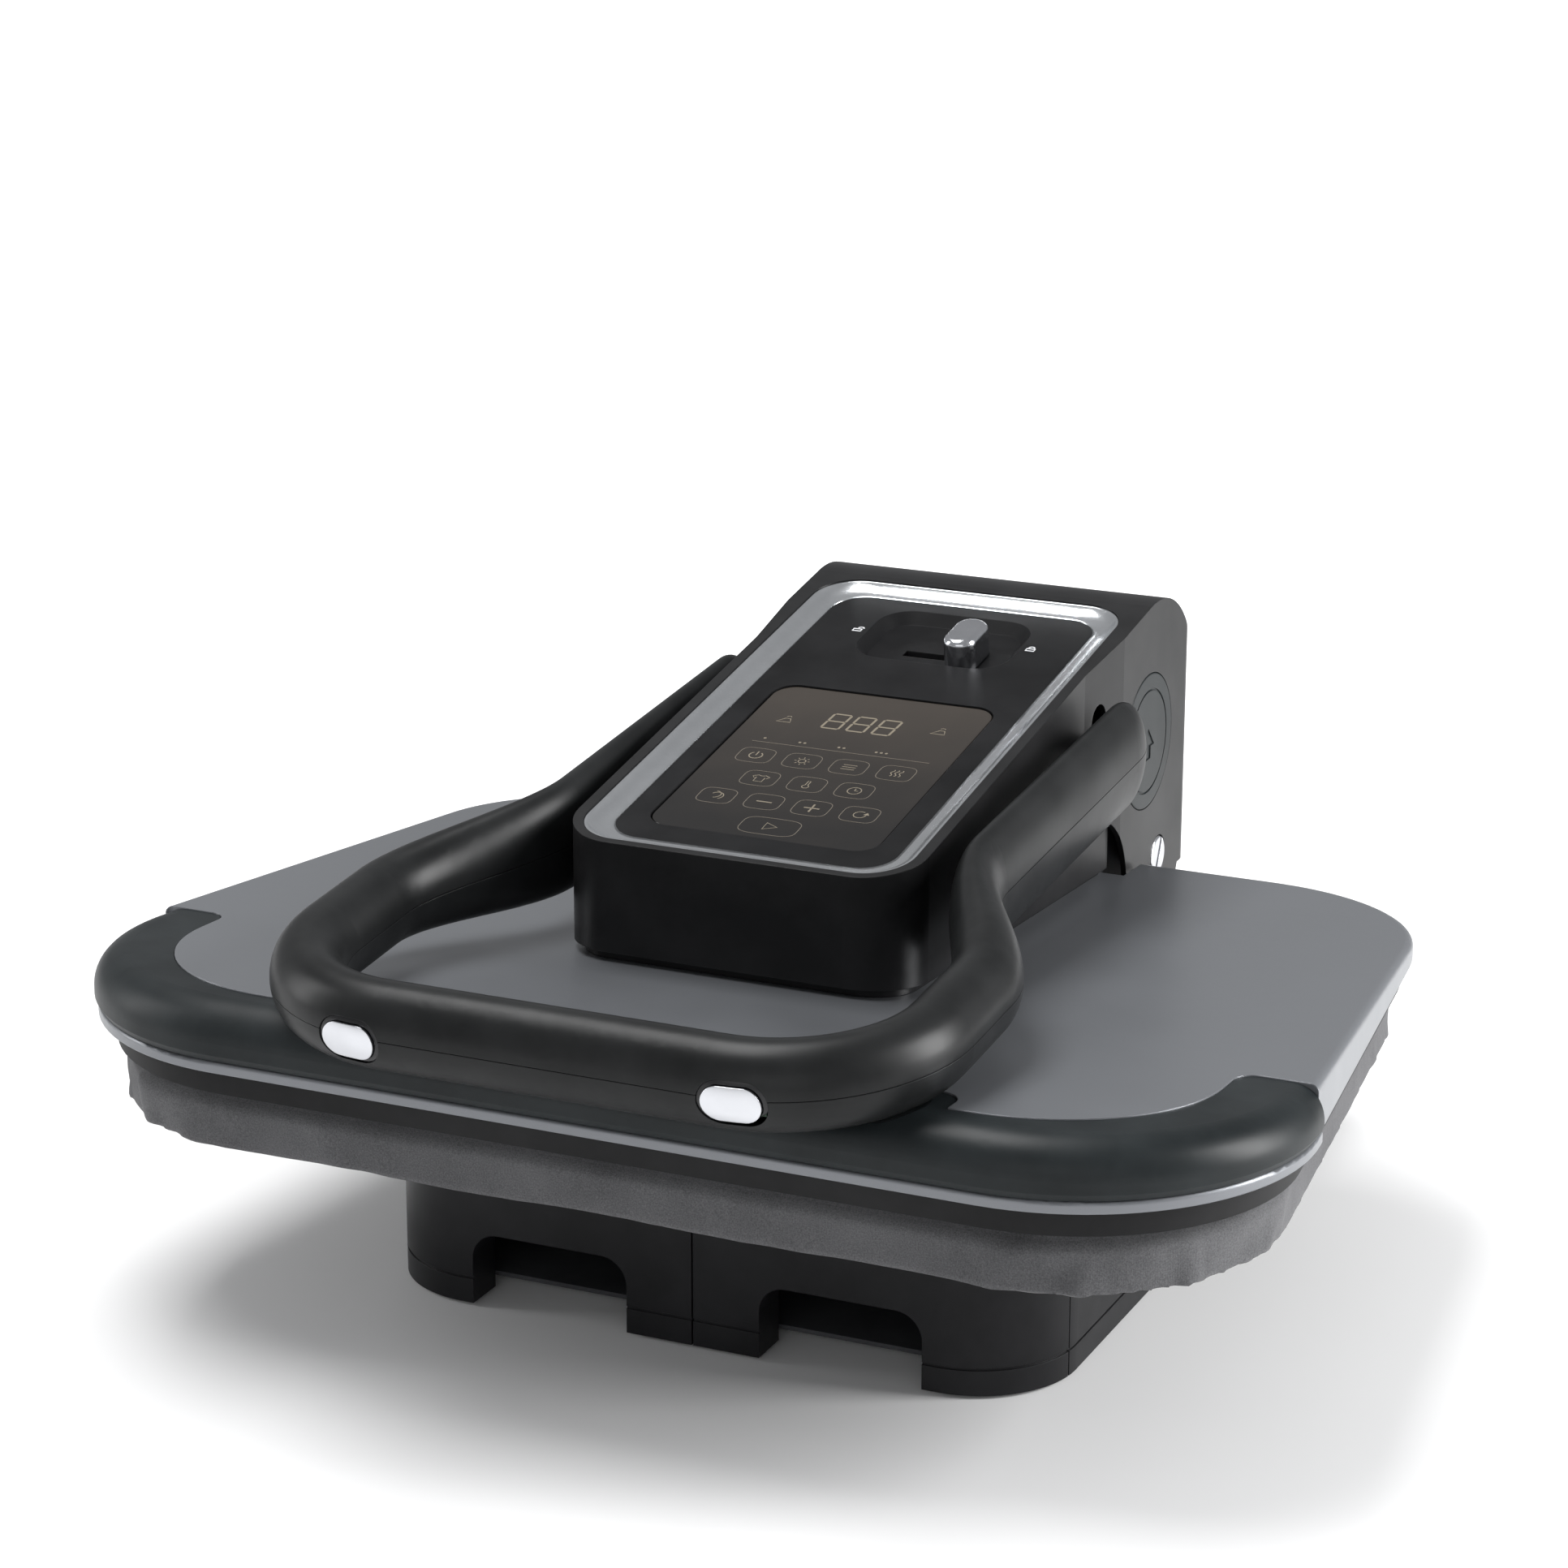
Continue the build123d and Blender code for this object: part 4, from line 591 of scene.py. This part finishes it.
def board_cover():
    low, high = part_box("board_fabric")
    plan = hull([(round(v.co.x, 5), round(v.co.y, 5)) for v in NODES["board_fabric"].data.vertices])
    ring = resampled(plan, RING_STEP)
    tree = outline_tree(ring)
    small = inset_outline(ring, SKIRT_INSET)

    mesh = bmesh.new()
    bottom = [mesh.verts.new((p.x, p.y, low.z)) for p in small]
    top = [mesh.verts.new((p.x, p.y, high.z)) for p in small]
    mesh.faces.new(bottom[::-1])
    mesh.faces.new(top)
    count = len(small)
    for i in range(count):
        j = (i + 1) % count
        mesh.faces.new((bottom[i], bottom[j], top[j], top[i]))
    data = bpy.data.meshes.new("board_cover")
    mesh.to_mesh(data)
    mesh.free()
    cover = bpy.data.objects.new("board_cover", data)
    bpy.context.scene.collection.objects.link(cover)
    apply_modifier(cover, "REMESH", mode="VOXEL", voxel_size=VOXEL)
    inflate(cover, high.z, low.z)
    open_underside(cover, ring, tree, low.z)
    apply_modifier(cover, "SUBSURF", levels=1, render_levels=1)
    gather(cover, ring, tree, low.z, high.z)
    apply_modifier(cover, "SOLIDIFY", thickness=CLOTH_THICKNESS, offset=-1.0)
    for face in cover.data.polygons:
        face.use_smooth = True
    cover.data.materials.append(NODES["board_fabric"].data.materials[0])
    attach(cover, "stand")
    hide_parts("board_fabric")
    return cover


def apply_modifier(piece, kind, **settings):
    """Adds a modifier and bakes it into the mesh."""
    modifier = piece.modifiers.new(kind.lower(), kind)
    for key, value in settings.items():
        setattr(modifier, key, value)
    graph = bpy.context.evaluated_depsgraph_get()
    baked = bpy.data.meshes.new_from_object(piece.evaluated_get(graph))
    piece.modifiers.clear()
    old, piece.data = piece.data, baked
    bpy.data.meshes.remove(old)


def inflate(piece, top_z, bottom_z):
    """Puffs the cover out a little with the cloth solver, then caps the movement."""
    rest = [v.co.copy() for v in piece.data.vertices]
    cloth = piece.modifiers.new("cloth", "CLOTH")
    settings = cloth.settings
    settings.quality = 5
    settings.mass = 0.25
    settings.tension_stiffness = 12
    settings.compression_stiffness = 12
    settings.bending_stiffness = 0.4
    settings.use_pressure = True
    settings.uniform_pressure_force = 4.0
    settings.effector_weights.gravity = 0.0
    cloth.point_cache.frame_start, cloth.point_cache.frame_end = 1, SIM_FRAMES
    scene = bpy.context.scene
    for number in range(1, SIM_FRAMES + 1):
        scene.frame_set(number)
    graph = bpy.context.evaluated_depsgraph_get()
    puffed = bpy.data.meshes.new_from_object(piece.evaluated_get(graph))
    piece.modifiers.clear()
    for vertex, start in zip(puffed.vertices, rest):
        move = vertex.co - start
        if move.length > SIM_CAP:
            move *= SIM_CAP / move.length
        place = start + move
        place.z = min(max(place.z, bottom_z), top_z)
        vertex.co = place
    old, piece.data = piece.data, puffed
    bpy.data.meshes.remove(old)
    scene.frame_set(1)


def open_underside(piece, ring, tree, bottom_z):
    """Cuts the opening inside the gathered hem."""
    mesh = bmesh.new()
    mesh.from_mesh(piece.data)
    inside = []
    for face in mesh.faces:
        centre = face.calc_center_median()
        if centre.z < bottom_z + 0.004:
            if nearest_on(ring, tree, centre.xy)[2] > HEM_DEPTH:
                inside.append(face)
    bmesh.ops.delete(mesh, geom=inside, context="FACES")
    mesh.to_mesh(piece.data)
    mesh.free()


def smooth(value, low, high):
    """0 below low, 1 above high, with an even change between."""
    share = min(1.0, max(0.0, (value - low) / (high - low)))
    return share * share * (3 - 2 * share)


def gather(piece, ring, tree, bottom_z, top_z):
    """Holds the skirt clear of the tray, then adds outward pleats and a drooping hem."""
    turns = turn_at(ring)
    height = top_z - bottom_z
    normals = [vertex.normal.copy() for vertex in piece.data.vertices]
    for vertex, normal in zip(piece.data.vertices, normals):
        co = vertex.co
        index, walk, depth, inward = nearest_on(ring, tree, co.xy)
        if depth > GATHER_REACH:
            continue
        level = (co.z - bottom_z) / height
        upright = 1.0 - smooth(depth, 0.006, 0.012)
        if depth > SKIRT_INSET:
            wall = smooth(1.0 - level, 0.12, 0.3) * (1.0 - smooth(abs(normal.z), 0.5, 0.95))
            co.xy -= inward * (depth - SKIRT_INSET) * upright * wall
        corner = 0.22 + 0.78 * turns[index]
        below_top = smooth(1.0 - level, 0.05, 0.4)
        near_edge = 1.0 - smooth(depth, 0.015, 0.04)
        slant = walk + (level - 0.5) * 0.010 * math.sin(walk * 9)
        pleat = noise.noise(Vector((slant * 62, level * 0.7, 0.3)))
        crease = 1.0 - 2.0 * abs(noise.noise(Vector((slant * 27, level * 1.2, 7.1))))
        push = (PLEAT_OUT * max(0.0, pleat) + CREASE_OUT * crease) * corner
        push = max(push * below_top * near_edge, -PUSH_IN_LIMIT)
        co.xy -= inward * push
        droop = 0.5 + 0.5 * noise.noise(Vector((walk * 18, 0.0, 5.5)))
        co.z -= HEM_DROOP * droop * (1 - level) ** 2 * near_edge


board_cover()


# ---------------------------------------------------------------- stage, lights, camera

FADE_START = 0.35
FADE_END = 1.6


def quad(name, size, place, material):
    mesh = bmesh.new()
    bmesh.ops.create_grid(mesh, x_segments=8, y_segments=8, size=size / 2)
    data = bpy.data.meshes.new(name)
    mesh.to_mesh(data)
    mesh.free()
    piece = bpy.data.objects.new(name, data)
    piece.location = place
    bpy.context.scene.collection.objects.link(piece)
    data.materials.append(material)
    return piece


def floor_material():
    """Pale matt floor that the camera sees fade to plain white away from the object."""
    s = Shader("pale_floor")
    s.set(Base_Color=s.mix(s.noise(3, 3), (0.86, 0.86, 0.86), (0.90, 0.90, 0.90)), Roughness=0.9)
    away = s.node("ShaderNodeVectorMath", {0: s.place}, operation="LENGTH").outputs["Value"]
    fade = s.map(away, 0.0, 0.9, FADE_START, FADE_END)
    seen = s.node("ShaderNodeLightPath").outputs["Is Camera Ray"]
    s.set(Emission_Color=(1.0, 1.0, 1.0, 1.0), Emission_Strength=s.math("MULTIPLY", fade, seen))
    return s.material


quad("floor", 14.0, (0, 0, 0), floor_material())


def softbox(name, place, target, size, power):
    """Rectangular area light that looks at a point."""
    light = bpy.data.lights.new(name, "AREA")
    light.shape = "RECTANGLE"
    light.size, light.size_y = size
    light.energy = power
    holder = bpy.data.objects.new(name, light)
    holder.location = place
    direction = Vector(target) - Vector(place)
    holder.rotation_mode = "QUATERNION"
    holder.rotation_quaternion = direction.to_track_quat("-Z", "Y")
    bpy.context.scene.collection.objects.link(holder)
    return holder


softbox("top_light", (-0.5, -0.1, 1.9), (0, 0, 0.1), (1.3, 0.8), 34)
softbox("left_light", (-1.9, -0.5, 0.8), (0, 0, 0.15), (0.5, 1.3), 12)
softbox("right_light", (1.8, 0.5, 0.8), (0, 0, 0.1), (0.7, 1.2), 52)
softbox("front_light", (0.5, -2.3, 0.7), (0, 0, 0.1), (2.2, 0.9), 7)

ROOM_LIGHT = 0.34

world = bpy.data.worlds.new("studio")
world.use_nodes = True
background = world.node_tree.nodes["Background"]
background.inputs["Color"].default_value = (0.97, 0.98, 1.0, 1)
camera_sees = world.node_tree.nodes.new("ShaderNodeLightPath").outputs["Is Camera Ray"]
strength = world.node_tree.nodes.new("ShaderNodeMapRange")
strength.inputs["To Min"].default_value = ROOM_LIGHT
strength.inputs["To Max"].default_value = 1.0
world.node_tree.links.new(camera_sees, strength.inputs["Value"])
world.node_tree.links.new(strength.outputs["Result"], background.inputs["Strength"])
bpy.context.scene.world = world
bpy.context.scene.view_settings.view_transform = "Standard"

CAMERA_PLACE = (0.7199, -1.6106, 0.7517)
CAMERA_AZIMUTH = math.radians(24.464)
CAMERA_ELEVATION = math.radians(16.907)
CAMERA_ROLL = math.radians(0.091)

camera = bpy.data.cameras.new("camera")
camera.lens = 98.07
camera.sensor_width = 36
holder = bpy.data.objects.new("camera", camera)
bpy.context.scene.collection.objects.link(holder)
back = Vector((
    math.sin(CAMERA_AZIMUTH) * math.cos(CAMERA_ELEVATION),
    -math.cos(CAMERA_AZIMUTH) * math.cos(CAMERA_ELEVATION),
    math.sin(CAMERA_ELEVATION),
))
holder.rotation_mode = "QUATERNION"
roll = Matrix.Rotation(CAMERA_ROLL, 4, "Z").to_quaternion()
holder.rotation_quaternion = (-back).to_track_quat("-Z", "Y") @ roll
holder.location = CAMERA_PLACE
bpy.context.scene.camera = holder
